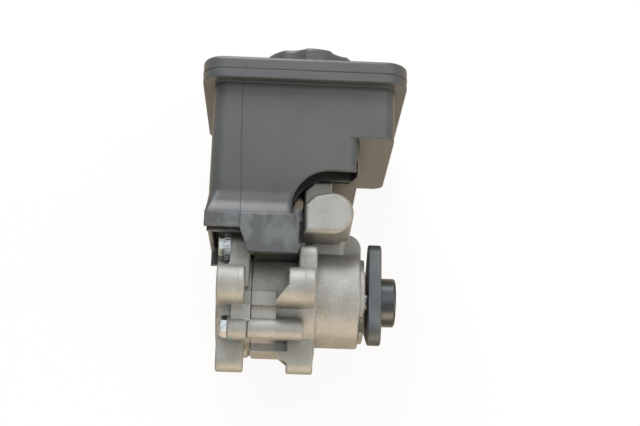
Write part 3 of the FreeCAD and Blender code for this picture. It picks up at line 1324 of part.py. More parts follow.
def hollow_side(name, grow, bottom, front, depth):
    """Prism across the tank that fills its hollow side, widened by an amount."""
    reach = f"(arc_radius + {grow})"
    top = f"(throat_height + {grow})"
    foot = f"(arc_x - sqrt({reach}^2 - ({bottom} - {arc_z})^2))"
    return padded(name, "XZ_Plane", [
        (foot, bottom), ("shelf_x", bottom), ("shelf_x", top), ("arc_x", top, reach)], front, depth)


def hood():
    """Two pockets behind the near wall, along hollow side and throat, with a slanted end."""
    front = "(tank_front + tank_wall)"
    slot = f"({front} + hood_depth + hood_rib)"
    end = f"({slot} + hood_slot)"
    bands = fused("HoodBands", [
        hollow_side("HoodDeep", "hood_height", "hood_bottom", front, "hood_depth"),
        hollow_side("HoodSlot", "hood_height", "hood_bottom", slot, "hood_slot")])
    left = "(arc_x - arc_radius - 2 * hood_height)"
    plan = padded("HoodPlan", "XY_Plane", [
        (left, front), ("shelf_x - hood_side", front), ("shelf_x - hood_side", f"{front} + hood_straight"),
        ("shelf_x - hood_side - hood_slope", end), (left, end)],
        "hood_bottom", "throat_height + 2 * hood_height - hood_bottom")
    return shared("Hood", bands, plan)


def reservoir_body():
    """Moulded black tank: walls, rim, skirt, two legs, suction neck and return nipple."""
    outer, inner, mouth, rim = tank_shell()
    inlet = ("inlet_x", "inlet_y")
    socket = rod("SocketFill", "z", "inlet_radius + inlet_room + tank_wall", "floor_height",
                 "throat_height + tank_wall - floor_height", inlet)
    hood_fill = hollow_side("HoodFill", "(hood_height + tank_wall)", "floor_height", "tank_front",
                            "hood_depth + hood_rib + hood_slot + 2 * tank_wall")
    fill = shared("TankFill", outer, fused("TankFillBlocks", [socket, hood_fill]))
    shell = cut("TankShell", fused("TankSolid", [outer, rim]), [inner, mouth])
    pieces = [shell, fill, skirt()] + skirt_rails()
    holes = []
    for name, way in (("NearSaddle", -1), ("FarSaddle", 1)):
        solids, hole = saddle(name, way)
        pieces += solids
        holes.append(hole)
    pieces.append(block("Tab", (f"{step_x} - tank_wall", "tank_front + tab_inset", "floor_height - tab_drop"),
                        ("tab_reach + tank_wall", "tab_width", "tab_height")))
    room = rod("SocketRoom", "z", "inlet_radius + inlet_room", "floor_height - 1",
               "throat_height - floor_height + 1", inlet)
    casting = cut("TankMoulding", fused("TankPieces", pieces), [hood(), room] + holes)
    neck = ring("SuctionNeck", "neck_bore", "neck_radius", "throat_height - neck_length",
                "neck_length + tank_wall", ("inlet_x", "inlet_y", "0"), "z")
    bores = [rod("NeckBore", "z", "neck_bore", "floor_height",
                 "throat_height + 2 * tank_wall - floor_height", inlet),
             rod("NippleBore", "y", "nipple_bore", "tank_back - 2 * tank_wall",
                 "nipple_length + 3 * tank_wall", ("nipple_x", "nipple_z"))]
    whole = fused("TankWithNeck", [casting, neck, return_nipple()])
    whole.Refine = False
    tank = cut("ReservoirBody", whole, bores)
    return node(tank, "reservoir_body")


def return_nipple():
    """Hose nipple on the far wall, with a bead that holds the hose."""
    tip = "(tank_back + nipple_length)"
    return turned("ReturnNipple", "y", [
        ("tank_back - 1", "0"), (tip, "0"), (tip, "nipple_radius - nipple_bead"),
        (f"{tip} - 4 * nipple_bead", "nipple_radius + nipple_bead"),
        (f"{tip} - 6 * nipple_bead", "nipple_radius"),
        ("tank_back - 1", "nipple_radius")], ("nipple_x", "0", "nipple_z"))


def inlet_seal():
    """Rubber sleeve with a flange between the tank's neck and the suction inlet."""
    low = "(throat_height - neck_length + neck_lead)"
    node(turned("InletSeal", "z", [
        (low, "neck_radius"), ("throat_height", "neck_radius"), ("throat_height", "inlet_radius"),
        (inlet_top, "inlet_radius"), (inlet_top, "inlet_bore"), (low, "inlet_bore")][::-1],
        ("inlet_x", "inlet_y", "0")), "inlet_seal")


def reservoir_lid():
    """Moulded lid welded to the tank's rim, with the filler neck."""
    plate = padded("LidPlate", "XY_Plane", rim_outline("0"), "seam_height", "lid_height")
    blend(plate, straight("z"), "rim_round")
    blend(plate, level("z", lid_top), "lid_round")
    recess = padded("LidRecess", "XY_Plane", rim_outline("(-lid_rim)"), "seam_height - 1",
                    "lid_height - lid_skin + 1")
    blend(recess, straight("z"), "rim_round - lid_rim")
    at = ("cap_x", "cap_y", "0")
    collar = ring("LidCollar", "neck_inner", "neck_outer + collar_width", f"{lid_top} - 1",
                  "collar_height + 1", at, "z")
    neck = ring("FillerNeck", "neck_inner", "neck_outer", f"{lid_top} - lid_skin",
                f"{neck_top} - ({lid_top} - lid_skin)", at, "z")
    hole = rod("FillerHole", "z", "neck_inner", "seam_height", "lid_height + 1", ("cap_x", "cap_y"))
    lid = cut("LidShell", plate, [recess, hole])
    return node(fused("ReservoirLid", [lid, collar, neck]), "reservoir_lid")


def filler_cap():
    """Six-lobed screw cap, hollow underneath, with its flat seal and its dipstick."""
    half = "cap_lobe_span / 2"
    outline = []
    for index in range(6):
        turn = f"({60 * index} + cap_lobe_turn"
        for side, radius in (("-", "cap_radius"), ("+", "-cap_dip_round")):
            angle = f"{turn} {side} {half})"
            outline.append((f"cap_radius * cos({angle})", f"cap_radius * sin({angle})", radius))
    axis = ("cap_x", "cap_y")
    body = padded("CapSolid", "XY_Plane", outline, cap_bottom, "cap_height", axis + ("0",))
    blend(body, level("z", "cap_top"), "cap_round")
    hollow = rod("CapHollow", "z", "cap_bore", f"{cap_bottom} - 1", "cap_height - cap_skin + 1", axis)
    node(cut("FillerCap", body, [hollow]), "filler_cap")
    node(ring("CapSeal", "neck_inner", "neck_outer", seal_bottom, "cap_seal_thickness", axis + ("0",), "z"),
         "cap_seal")
    root = rod("StickRoot", "z", "stick_root", f"{cap_ceiling} - stick_root", "stick_root", axis)
    blade = block("StickBlade", ("cap_x - stick_width / 2", "cap_y - stick_thickness / 2",
                                 f"{cap_ceiling} - stick_length"),
                  ("stick_width", "stick_thickness", "stick_length"))
    node(fused("Dipstick", [root, blade]), "dipstick")


def strainer():
    """Moulded basket over the suction neck, open at four windows."""
    floor = "(throat_height + tank_wall)"
    top = f"({floor} + strainer_height)"
    ceiling = f"({top} - strainer_wall)"
    bore = "(strainer_radius - strainer_wall)"
    cup = turned("StrainerCup", "z", [
        (floor, bore), (floor, "strainer_radius"), (top, "strainer_radius"), (top, "0"), (ceiling, "0"),
        (ceiling, bore)], ("inlet_x", "inlet_y", "0"))
    sill = f"({floor} + strainer_sill)"
    height = "strainer_height - 2 * strainer_sill"
    half = "strainer_radius / 2"
    across = "2 * strainer_radius + 2"
    windows = [
        block("StrainerWindow", (f"inlet_x - {half}", "inlet_y - strainer_radius - 1", sill),
              ("strainer_radius", across, height)),
        block("StrainerWindow", ("inlet_x - strainer_radius - 1", f"inlet_y - {half}", sill),
              (across, "strainer_radius", height))]
    return node(cut("Strainer", cup, windows), "strainer")


def check_and_write():
    """Stops on any failed object or broken sub-part, then writes one file for each sub-part."""
    doc.recompute()
    failed = [thing.Name for thing in doc.Objects if "Invalid" in thing.State or "Error" in thing.State]
    broken = [thing.Label for thing in nodes if thing.Shape.isNull() or not thing.Shape.isValid()]
    if failed or broken:
        raise SystemExit(f"failed objects: {failed}, broken sub-parts: {broken}")
    os.makedirs("parts", exist_ok=True)
    for thing in nodes:
        thing.Shape.exportStep(f"parts/{thing.Label}.step")
        print(thing.Label, len(thing.Shape.Solids), round(thing.Shape.Volume), thing.Shape.BoundBox)


hub_flange()
drive_shaft()
front_housing()
rear_cover()
cover_seal()
bolts()
shaft_seal()
bearing()
retaining_ring()
rotor()
vanes()
cam_ring()
pressure_plates()
rear_bush()
flow_valve()
valve_plug()
reservoir_body()
inlet_seal()
reservoir_lid()
filler_cap()
strainer()
check_and_write()
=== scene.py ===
import math

import bpy
from mathutils import Matrix, Vector


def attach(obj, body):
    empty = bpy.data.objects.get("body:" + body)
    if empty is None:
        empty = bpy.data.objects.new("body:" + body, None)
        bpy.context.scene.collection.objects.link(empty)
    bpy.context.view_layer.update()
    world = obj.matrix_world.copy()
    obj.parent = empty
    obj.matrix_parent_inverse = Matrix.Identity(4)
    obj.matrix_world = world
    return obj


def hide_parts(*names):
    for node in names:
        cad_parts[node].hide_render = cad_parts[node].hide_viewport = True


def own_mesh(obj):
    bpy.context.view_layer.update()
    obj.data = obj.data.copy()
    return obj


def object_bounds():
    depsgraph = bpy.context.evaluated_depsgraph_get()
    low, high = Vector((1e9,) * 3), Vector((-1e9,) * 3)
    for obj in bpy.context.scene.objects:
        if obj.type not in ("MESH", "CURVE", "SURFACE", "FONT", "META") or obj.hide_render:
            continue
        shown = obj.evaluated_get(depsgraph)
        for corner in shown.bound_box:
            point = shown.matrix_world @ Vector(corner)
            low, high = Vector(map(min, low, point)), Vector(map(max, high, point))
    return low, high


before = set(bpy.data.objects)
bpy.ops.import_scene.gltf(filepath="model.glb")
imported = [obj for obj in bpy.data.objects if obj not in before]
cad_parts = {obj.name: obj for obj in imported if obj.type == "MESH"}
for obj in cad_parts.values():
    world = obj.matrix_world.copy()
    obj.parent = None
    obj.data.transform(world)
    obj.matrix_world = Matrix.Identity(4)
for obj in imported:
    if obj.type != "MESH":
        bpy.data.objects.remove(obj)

plain_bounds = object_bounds()

# Front housing and rear cover: two pressure die castings of aluminium, trimmed and shot-blasted.
# Blasting leaves an even pale grey; its soft sparkle is painted in as light specks, rubbed edges are
# brighter, and shade in recesses is painted in as a darker colour.
# The joint and lug faces are turned and milled, and a dab of green paint marks one inspected boss.
CAST_PALE = "#90918d"
CAST_DEEP = "#82827d"
CAST_RUBBED_AND_SPARKLE = "#bcbdb9"
CAST_RECESS_SHADE = "#6b6960"
CAST_MILLED = "#bdbcb8"
PAINT_GREEN = "#1f8f80"
CAST_CLOUD_MM = 12.0
CAST_GRIT_MM = 0.75  # the blasting grit is 0.3 mm, drawn coarser so that it shows
CAST_GRIT_DEPTH = 0.00025
CAST_EDGE = 0.0007
CAST_SHADE_REACH = 0.01
TOOL_MARK_MM = 0.7  # the feed of the tool is 0.2 mm, drawn coarser so that it shows
WAVE_RATE = 20  # a wave texture of scale 1 has its rings tau / 20 apart
LUG_FRONT_MM = -47.9
LUG_REAR_MM = -117.7
LUG_FACE_MM = 0.1
NOSE_MM = -16.5
PAINT_PLACE_MM = (-107.2, -38.6, -40.4)
PAINT_OUTER_MM = 3.4
PAINT_INNER_MM = 2.6
PAINT_RAGGED_MM = 3.0


def linear(code):
    """The sRGB hex colour as linear numbers with full alpha."""
    channels = [int(code[start:start + 2], 16) / 255 for start in (1, 3, 5)]
    flat = [c / 12.92 if c <= 0.04045 else ((c + 0.055) / 1.055) ** 2.4 for c in channels]
    return (*flat, 1.0)


def blank(name):
    """A new material with an empty node tree."""
    material = bpy.data.materials.new(name)
    material.use_nodes = True
    material.node_tree.nodes.clear()
    return material


def add(tree, kind, settings=(), links=()):
    """Adds a node, sets its properties and sockets, and links its sockets from other nodes."""
    made = tree.nodes.new(kind)
    for name, setting in dict(settings).items():
        if isinstance(name, str) and hasattr(made, name):
            setattr(made, name, setting)
        else:
            made.inputs[name].default_value = setting
    for name, source in dict(links).items():
        tree.links.new(source.outputs[0] if isinstance(source, bpy.types.Node) else source, made.inputs[name])
    return made


def dress(material, *names):
    """Gives a material to the objects of CAD nodes."""
    for name in names:
        for slot in bpy.data.objects[name].material_slots:
            slot.material = material


def blasted_aluminium():
    material = blank("shot_blasted_cast_aluminium")
    tree = material.node_tree
    place = add(tree, "ShaderNodeTexCoord")
    mm = add(tree, "ShaderNodeVectorMath", {"operation": "SCALE", "Scale": 1000.0},
             {0: place.outputs["Object"]})
    cloud = add(tree, "ShaderNodeTexNoise", {"Scale": 1 / CAST_CLOUD_MM, "Detail": 4.0}, {"Vector": mm})
    grit = add(tree, "ShaderNodeTexNoise", {"Scale": 1 / CAST_GRIT_MM, "Detail": 2.0, "Roughness": 0.6},
               {"Vector": mm})
    cloudy = add(tree, "ShaderNodeMapRange", {1: 0.3, 2: 0.7}, {0: cloud})
    skin = add(tree, "ShaderNodeMix", {"data_type": "RGBA", 6: linear(CAST_DEEP), 7: linear(CAST_PALE)},
               {0: cloudy})
    # Painted glint: grit specks are mixed toward the light colour as sparkle.
    sparkle = add(tree, "ShaderNodeMapRange", {1: 0.5, 2: 0.7, 3: 0.0, 4: 0.5}, {0: grit})
    speckled = add(tree, "ShaderNodeMix", {"data_type": "RGBA", 7: linear(CAST_RUBBED_AND_SPARKLE)},
                   {0: sparkle, 6: skin.outputs[2]})
    shape = add(tree, "ShaderNodeNewGeometry")
    edge = add(tree, "ShaderNodeBevel", {"samples": 6, "Radius": CAST_EDGE})
    turn = add(tree, "ShaderNodeVectorMath", {"operation": "DOT_PRODUCT"},
               {0: edge, 1: shape.outputs["Normal"]})
    rub = add(tree, "ShaderNodeMapRange", {1: 0.99, 2: 0.86, 3: 0.0, 4: 0.5}, {0: turn.outputs["Value"]})
    rubbed_and_shaded = add(tree, "ShaderNodeMix", {"data_type": "RGBA", 7: linear(CAST_RUBBED_AND_SPARKLE)},
                 {0: rub, 6: speckled.outputs[2]})
    # Painted shade: where occlusion finds a recess, the colour is mixed toward a dark grey.
    hidden = add(tree, "ShaderNodeAmbientOcclusion", {"samples": 8, "Distance": CAST_SHADE_REACH})
    recess_shade = add(tree, "ShaderNodeMapRange", {1: 0.5, 2: 0.1, 3: 0.0, 4: 0.4}, {0: hidden.outputs["AO"]})
    dulled_and_shaded = add(tree, "ShaderNodeMix", {"data_type": "RGBA", 7: linear(CAST_RECESS_SHADE)},
                 {0: recess_shade, 6: rubbed_and_shaded.outputs[2]})
    split = add(tree, "ShaderNodeSeparateXYZ", links={0: mm})
    facing = add(tree, "ShaderNodeSeparateXYZ", links={0: shape.outputs["Normal"]})
    level = add(tree, "ShaderNodeMath", {"operation": "ABSOLUTE"}, {0: facing.outputs["X"]})
    flat = add(tree, "ShaderNodeMath", {"operation": "GREATER_THAN", 1: 0.99}, {0: level})
    front = add(tree, "ShaderNodeMath", {"operation": "COMPARE", 1: LUG_FRONT_MM, 2: LUG_FACE_MM},
                {0: split.outputs["X"]})
    rear = add(tree, "ShaderNodeMath", {"operation": "COMPARE", 1: LUG_REAR_MM, 2: LUG_FACE_MM},
               {0: split.outputs["X"]})
    nose = add(tree, "ShaderNodeMath", {"operation": "GREATER_THAN", 1: NOSE_MM}, {0: split.outputs["X"]})
    lugs = add(tree, "ShaderNodeMath", {"operation": "ADD"}, {0: front, 1: rear})
    tooled = add(tree, "ShaderNodeMath", {"operation": "ADD", "use_clamp": True}, {0: lugs, 1: nose})
    milled = add(tree, "ShaderNodeMath", {"operation": "MULTIPLY"}, {0: tooled, 1: flat})
    machined = add(tree, "ShaderNodeMix", {"data_type": "RGBA", 7: linear(CAST_MILLED)},
                   {0: milled, 6: dulled_and_shaded.outputs[2]})
    reach = add(tree, "ShaderNodeVectorMath", {"operation": "DISTANCE", 1: PAINT_PLACE_MM}, {0: mm})
    ragged = add(tree, "ShaderNodeMath",
                 {"operation": "MULTIPLY_ADD", 1: PAINT_RAGGED_MM, 2: -PAINT_RAGGED_MM / 2}, {0: grit})
    spread = add(tree, "ShaderNodeMath", {"operation": "ADD"}, {0: reach.outputs["Value"], 1: ragged})
    paint = add(tree, "ShaderNodeMapRange", {1: PAINT_OUTER_MM, 2: PAINT_INNER_MM, 3: 0.0, 4: 1.0},
                {0: spread})
    colour = add(tree, "ShaderNodeMix", {"data_type": "RGBA", 7: linear(PAINT_GREEN)},
                 {0: paint, 6: machined.outputs[2]})
    bare = add(tree, "ShaderNodeMath", {"operation": "SUBTRACT", 0: 1.0}, {1: paint})
    blasted = add(tree, "ShaderNodeMapRange", {1: 0.3, 2: 0.7, 3: 0.56, 4: 0.7}, {0: grit})
    smooth = add(tree, "ShaderNodeMix", {"data_type": "FLOAT", 3: 0.34}, {0: milled, 2: blasted})
    rings = add(tree, "ShaderNodeTexWave",
                {"wave_type": "RINGS", "rings_direction": "X", "Distortion": 0.3,
                 "Scale": math.tau / (WAVE_RATE * TOOL_MARK_MM)}, {"Vector": mm})
    tracks = add(tree, "ShaderNodeMix", {"data_type": "FLOAT"}, {0: milled, 2: grit, 3: rings.outputs["Fac"]})
    relief = add(tree, "ShaderNodeBump", {"Strength": 0.6, "Distance": CAST_GRIT_DEPTH},
                 {"Height": tracks, "Normal": edge})
    shader = add(tree, "ShaderNodeBsdfPrincipled", {},
                 {"Base Color": colour.outputs[2], "Metallic": bare, "Roughness": smooth, "Normal": relief})
    add(tree, "ShaderNodeOutputMaterial", links={"Surface": shader})
    return material


def front_of(item, x, z):
    """The point of a part's near surface at a height and place along the shaft."""
    found, place, normal, face = item.ray_cast(Vector((x, -0.3, z)), Vector((0.0, 1.0, 0.0)))
    return place


def bead(name, points, radius, material, closed=False):
    """A fine round bead of one piece of the pump body, swept along points."""
    curve = bpy.data.curves.new(name, "CURVE")
    curve.dimensions = "3D"
    curve.bevel_depth = radius
    curve.bevel_resolution = 2
    curve.use_fill_caps = not closed
    spline = curve.splines.new("POLY")
    spline.points.add(len(points) - 1)
    for knot, point in zip(spline.points, points):
        knot.co = (*point, 1.0)
    spline.use_cyclic_u = closed
    path = bpy.data.objects.new(name + "_path", curve)
    mesh = bpy.data.meshes.new_from_object(path)
    bpy.data.objects.remove(path)
    mesh.materials.clear()
    mesh.materials.append(material)
    piece = bpy.data.objects.new(name, mesh)
    bpy.context.scene.collection.objects.link(piece)
    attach(piece, "pump_body")
    return piece


aluminium = blasted_aluminium()
dress(aluminium, "front_housing", "rear_cover")

# Mould lines: where the two halves of the die met, a fine ridge of flash runs down ears and lugs.
# It was trimmed and blasted with the casting, so it has the casting's own colour.
MOULD_LINES = {
    "mould_line_rear": ("rear_cover",
                        ((-0.1038, 0.030), (-0.1037, 0.016), (-0.1028, 0.004), (-0.1017, -0.0125))),
    "mould_line_front": ("front_housing",
                         ((-0.0559, 0.0225), (-0.0556, 0.014), (-0.0551, -0.0125)))}
MOULD_LINE_RADIUS = 0.00022
MOULD_LINE_STEPS = 24

for line_name, (line_part, line_knots) in MOULD_LINES.items():
    line_points = []
    for (x_0, z_0), (x_1, z_1) in zip(line_knots, line_knots[1:]):
        for step in range(MOULD_LINE_STEPS):
            share = step / MOULD_LINE_STEPS
            line_points.append(front_of(bpy.data.objects[line_part], x_0 + share * (x_1 - x_0),
                                        z_0 + share * (z_1 - z_0)))
    bead(line_name, line_points, MOULD_LINE_RADIUS, aluminium)

# Rib between chamber and valve boss: a low wall of the casting, rough like the rest of it.
# It closes the view between the tank's strap and the valve boss.
RIB_OUTLINE = ((-0.0628, 0.036), (-0.0560, 0.036), (-0.0560, 0.062), (-0.0592, 0.0655), (-0.0628, 0.060))
RIB_NEAR = -0.018
RIB_FAR = 0.012
RIB_ROUND = 0.0016


def casting_rib():
    piece_mesh = bpy.data.meshes.new("valve_rib")
    near = [(x, RIB_NEAR, z) for x, z in RIB_OUTLINE]
    far = [(x, RIB_FAR, z) for x, z in RIB_OUTLINE]
    count = len(RIB_OUTLINE)
    sides = [(i, i + count, (i + 1) % count + count, (i + 1) % count) for i in range(count)]
    ends = [tuple(range(count)), tuple(range(2 * count - 1, count - 1, -1))]
    piece_mesh.from_pydata(near + far, [], ends + sides)
    piece_mesh.materials.append(aluminium)
    piece = bpy.data.objects.new("valve_rib", piece_mesh)
    bpy.context.scene.collection.objects.link(piece)
    rounded = piece.modifiers.new("rounded", "BEVEL")
    rounded.width = RIB_ROUND
    rounded.segments = 3
    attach(piece, "pump_body")


casting_rib()

# Shaft, ball bearing and its ring: hardened bearing steel, ground and left bright under a film of oil.
# The cartridge that pumps is of the same ground steel: rotor, vanes, cam ring, plates, pins and spring.
GROUND_PALE = "#b4b6b8"
GROUND_OILED = "#8f9294"
GRIND_LINE_MM = 0.5  # grinding lines are finer than 0.1 mm, drawn coarser so that they show
GRIND_STRETCH = 0.08
OIL_FILM_MM = 8.0
GROUND_EDGE = 0.0002


def ground_steel():
    material = blank("ground_bearing_steel")
    tree = material.node_tree
    place = add(tree, "ShaderNodeTexCoord")
    mm = add(tree, "ShaderNodeVectorMath", {"operation": "SCALE", "Scale": 1000.0},
             {0: place.outputs["Object"]})
    drawn = add(tree, "ShaderNodeVectorMath",
                {"operation": "MULTIPLY", 1: (1.0, GRIND_STRETCH, GRIND_STRETCH)}, {0: mm})
    lines = add(tree, "ShaderNodeTexNoise", {"Scale": 1 / GRIND_LINE_MM, "Detail": 2.0}, {"Vector": drawn})
    film = add(tree, "ShaderNodeTexNoise", {"Scale": 1 / OIL_FILM_MM, "Detail": 3.0}, {"Vector": mm})
    oiled = add(tree, "ShaderNodeMapRange", {1: 0.35, 2: 0.65}, {0: film})
    colour = add(tree, "ShaderNodeMix",
                 {"data_type": "RGBA", 6: linear(GROUND_OILED), 7: linear(GROUND_PALE)},
                 {0: oiled})
    rough = add(tree, "ShaderNodeMapRange", {1: 0.3, 2: 0.7, 3: 0.2, 4: 0.38}, {0: lines})
    edge = add(tree, "ShaderNodeBevel", {"samples": 4, "Radius": GROUND_EDGE})
    relief = add(tree, "ShaderNodeBump", {"Strength": 0.3, "Distance": 0.00002},
                 {"Height": lines, "Normal": edge})
    shader = add(tree, "ShaderNodeBsdfPrincipled", {"Metallic": 1.0},
                 {"Base Color": colour.outputs[2], "Roughness": rough, "Normal": relief})
    add(tree, "ShaderNodeOutputMaterial", links={"Surface": shader})
    return material


dress(ground_steel(), "drive_shaft", "bearing_outer_ring", "bearing_inner_ring", "bearing_balls",
      "bearing_cage", "retaining_ring", "rotor", "cam_ring", "front_pressure_plate", "rear_pressure_plate",
      "dowel_pins", "disc_spring", "flow_spool", "relief_seat", "relief_ball", "relief_spring",
      "spool_spring", *(f"vane_{number:02d}" for number in range(1, 11)))


def pressed_spring():
    """The spring as a piece with its own copy of the mesh, attached to the pump body."""
    item = bpy.data.objects.new("spool_spring_coil", bpy.data.objects["spool_spring"].data.copy())
    bpy.context.scene.collection.objects.link(item)
    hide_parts("spool_spring")
    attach(item, "pump_body")
    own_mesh(item)


pressed_spring()

# Shaft seal, gasket, plate seals and sleeves: nitrile rubber, moulded or punched, black and dull.
# It is pressed into its seats, so only thin dark lines of it show between the metal parts.
RUBBER_DARK = "#1b1c1d"
RUBBER_PALE = "#2b2c2d"
BLOOM_MM = 1.5


def nitrile_rubber():
    material = blank("nitrile_rubber")
    tree = material.node_tree
    place = add(tree, "ShaderNodeTexCoord")
    mm = add(tree, "ShaderNodeVectorMath", {"operation": "SCALE", "Scale": 1000.0},
             {0: place.outputs["Object"]})
    bloom = add(tree, "ShaderNodeTexNoise", {"Scale": 1 / BLOOM_MM, "Detail": 3.0}, {"Vector": mm})
    colour = add(tree, "ShaderNodeMix",
                 {"data_type": "RGBA", 6: linear(RUBBER_DARK), 7: linear(RUBBER_PALE)},
                 {0: bloom})
    relief = add(tree, "ShaderNodeBump", {"Strength": 0.4, "Distance": 0.00005}, {"Height": bloom})
    shader = add(tree, "ShaderNodeBsdfPrincipled", {"Roughness": 0.7, "IOR": 1.52},
                 {"Base Color": colour.outputs[2], "Normal": relief})
    add(tree, "ShaderNodeOutputMaterial", links={"Surface": shader})
    return material


dress(nitrile_rubber(), "cover_seal", "shaft_seal", "plate_seals", "plug_seal", "inlet_seal", "cap_seal")

# Hub flange: a forging of steel, turned and milled, pressed on the shaft and dipped in black phosphate.
# The coat is an even dark grey with a faint sheen, and the turned boss in front is smoother and darker.
PHOSPHATE_DEEP = "#484c4d"
PHOSPHATE_PALE = "#55595a"
PHOSPHATE_WORN = "#8b9091"
PHOSPHATE_BOSS = "#414445"
CRYSTAL_MM = 0.8  # phosphate crystals are finer than 0.05 mm, drawn coarser so that they show
PHOSPHATE_CLOUD_MM = 14.0
PHOSPHATE_EDGE = 0.0005


def phosphated_steel():
    material = blank("phosphated_steel")
    tree = material.node_tree
    place = add(tree, "ShaderNodeTexCoord")
    mm = add(tree, "ShaderNodeVectorMath", {"operation": "SCALE", "Scale": 1000.0},
             {0: place.outputs["Object"]})
    grain = add(tree, "ShaderNodeTexNoise", {"Scale": 1 / CRYSTAL_MM, "Detail": 2.0, "Roughness": 0.6},
                {"Vector": mm})
    cloud = add(tree, "ShaderNodeTexNoise", {"Scale": 1 / PHOSPHATE_CLOUD_MM, "Detail": 3.0}, {"Vector": mm})
    cloudy = add(tree, "ShaderNodeMapRange", {1: 0.35, 2: 0.65}, {0: cloud})
    coat = add(tree, "ShaderNodeMix",
               {"data_type": "RGBA", 6: linear(PHOSPHATE_DEEP), 7: linear(PHOSPHATE_PALE)},
               {0: cloudy})
    split = add(tree, "ShaderNodeSeparateXYZ", links={0: mm})
    boss = add(tree, "ShaderNodeMapRange", {1: 0.1, 2: 0.4}, {0: split.outputs["X"]})
    turned = add(tree, "ShaderNodeMix", {"data_type": "RGBA", 7: linear(PHOSPHATE_BOSS)},
                 {0: boss, 6: coat.outputs[2]})
    shape = add(tree, "ShaderNodeNewGeometry")
    edge = add(tree, "ShaderNodeBevel", {"samples": 6, "Radius": PHOSPHATE_EDGE})
    turn = add(tree, "ShaderNodeVectorMath", {"operation": "DOT_PRODUCT"},
               {0: edge, 1: shape.outputs["Normal"]})
    rub = add(tree, "ShaderNodeMapRange", {1: 0.99, 2: 0.88, 3: 0.0, 4: 0.6}, {0: turn.outputs["Value"]})
    colour = add(tree, "ShaderNodeMix", {"data_type": "RGBA", 7: linear(PHOSPHATE_WORN)},
                 {0: rub, 6: turned.outputs[2]})
    crystal = add(tree, "ShaderNodeMapRange", {1: 0.3, 2: 0.7, 3: 0.46, 4: 0.58}, {0: grain})
    rough = add(tree, "ShaderNodeMix", {"data_type": "FLOAT", 3: 0.3}, {0: boss, 2: crystal})
    relief = add(tree, "ShaderNodeBump", {"Strength": 0.25, "Distance": 0.00005},
                 {"Height": grain, "Normal": edge})
    shader = add(tree, "ShaderNodeBsdfPrincipled", {"Metallic": 0.9},
                 {"Base Color": colour.outputs[2], "Roughness": rough, "Normal": relief})
    add(tree, "ShaderNodeOutputMaterial", links={"Surface": shader})
    return material


dress(phosphated_steel(), "hub_flange")

# Rear bush: sintered bronze, pressed into the cover, porous and soaked with oil.
# It is a warm brown metal with fine dark pores.
BRONZE_PALE = "#b08d57"
BRONZE_PORE = "#6e5330"
PORE_MM = 0.5


def sintered_bronze():
    material = blank("sintered_bronze")
    tree = material.node_tree
    place = add(tree, "ShaderNodeTexCoord")
    mm = add(tree, "ShaderNodeVectorMath", {"operation": "SCALE", "Scale": 1000.0},
             {0: place.outputs["Object"]})
    pores = add(tree, "ShaderNodeTexNoise", {"Scale": 1 / PORE_MM, "Detail": 2.0}, {"Vector": mm})
    colour = add(tree, "ShaderNodeMix",
                 {"data_type": "RGBA", 6: linear(BRONZE_PORE), 7: linear(BRONZE_PALE)},
                 {0: pores})
    relief = add(tree, "ShaderNodeBump", {"Strength": 0.5, "Distance": 0.00003}, {"Height": pores})
    shader = add(tree, "ShaderNodeBsdfPrincipled", {"Metallic": 1.0, "Roughness": 0.45},
                 {"Base Color": colour.outputs[2], "Normal": relief})
    add(tree, "ShaderNodeOutputMaterial", links={"Surface": shader})
    return material


dress(sintered_bronze(), "shaft_bush")

# Bolts, toothed washers, clamp sleeves and valve plug: steel, zinc plated and blue passivated.
# The plating is pale and slightly blue, with duller patches where parts rubbed in the barrel.
ZINC_BRIGHT = "#b4bcbe"
ZINC_DULL = "#949c9e"
ZINC_RUBBED = "#eceff0"
ZINC_PATCH_MM = 2.5
ZINC_EDGE = 0.0004


def zinc_plated_steel():
    material = blank("zinc_plated_steel")
    tree = material.node_tree
    place = add(tree, "ShaderNodeTexCoord")
    mm = add(tree, "ShaderNodeVectorMath", {"operation": "SCALE", "Scale": 1000.0},
             {0: place.outputs["Object"]})
    patches = add(tree, "ShaderNodeTexNoise", {"Scale": 1 / ZINC_PATCH_MM, "Detail": 3.0}, {"Vector": mm})
    dulled_and_shaded = add(tree, "ShaderNodeMapRange", {1: 0.35, 2: 0.65}, {0: patches})
    plate = add(tree, "ShaderNodeMix", {"data_type": "RGBA", 6: linear(ZINC_DULL), 7: linear(ZINC_BRIGHT)},
                {0: dulled_and_shaded})
    shape = add(tree, "ShaderNodeNewGeometry")
    edge = add(tree, "ShaderNodeBevel", {"samples": 6, "Radius": ZINC_EDGE})
    turn = add(tree, "ShaderNodeVectorMath", {"operation": "DOT_PRODUCT"},
               {0: edge, 1: shape.outputs["Normal"]})
    rub = add(tree, "ShaderNodeMapRange", {1: 0.99, 2: 0.9, 3: 0.0, 4: 0.6}, {0: turn.outputs["Value"]})
    colour = add(tree, "ShaderNodeMix", {"data_type": "RGBA", 7: linear(ZINC_RUBBED)},
                 {0: rub, 6: plate.outputs[2]})
    rough = add(tree, "ShaderNodeMapRange", {1: 0.3, 2: 0.7, 3: 0.42, 4: 0.28}, {0: patches})
    relief = add(tree, "ShaderNodeBump", {"Strength": 0.2, "Distance": 0.00005},
                 {"Height": patches, "Normal": edge})
    shader = add(tree, "ShaderNodeBsdfPrincipled", {"Metallic": 1.0},
                 {"Base Color": colour.outputs[2], "Roughness": rough, "Normal": relief})
    add(tree, "ShaderNodeOutputMaterial", links={"Surface": shader})
    return material


dress(zinc_plated_steel(), "cover_bolts", "reservoir_bolt_near", "reservoir_bolt_far", "serrated_washer_near",
      "serrated_washer_far", "clamp_sleeve_near", "clamp_sleeve_far", "valve_plug")
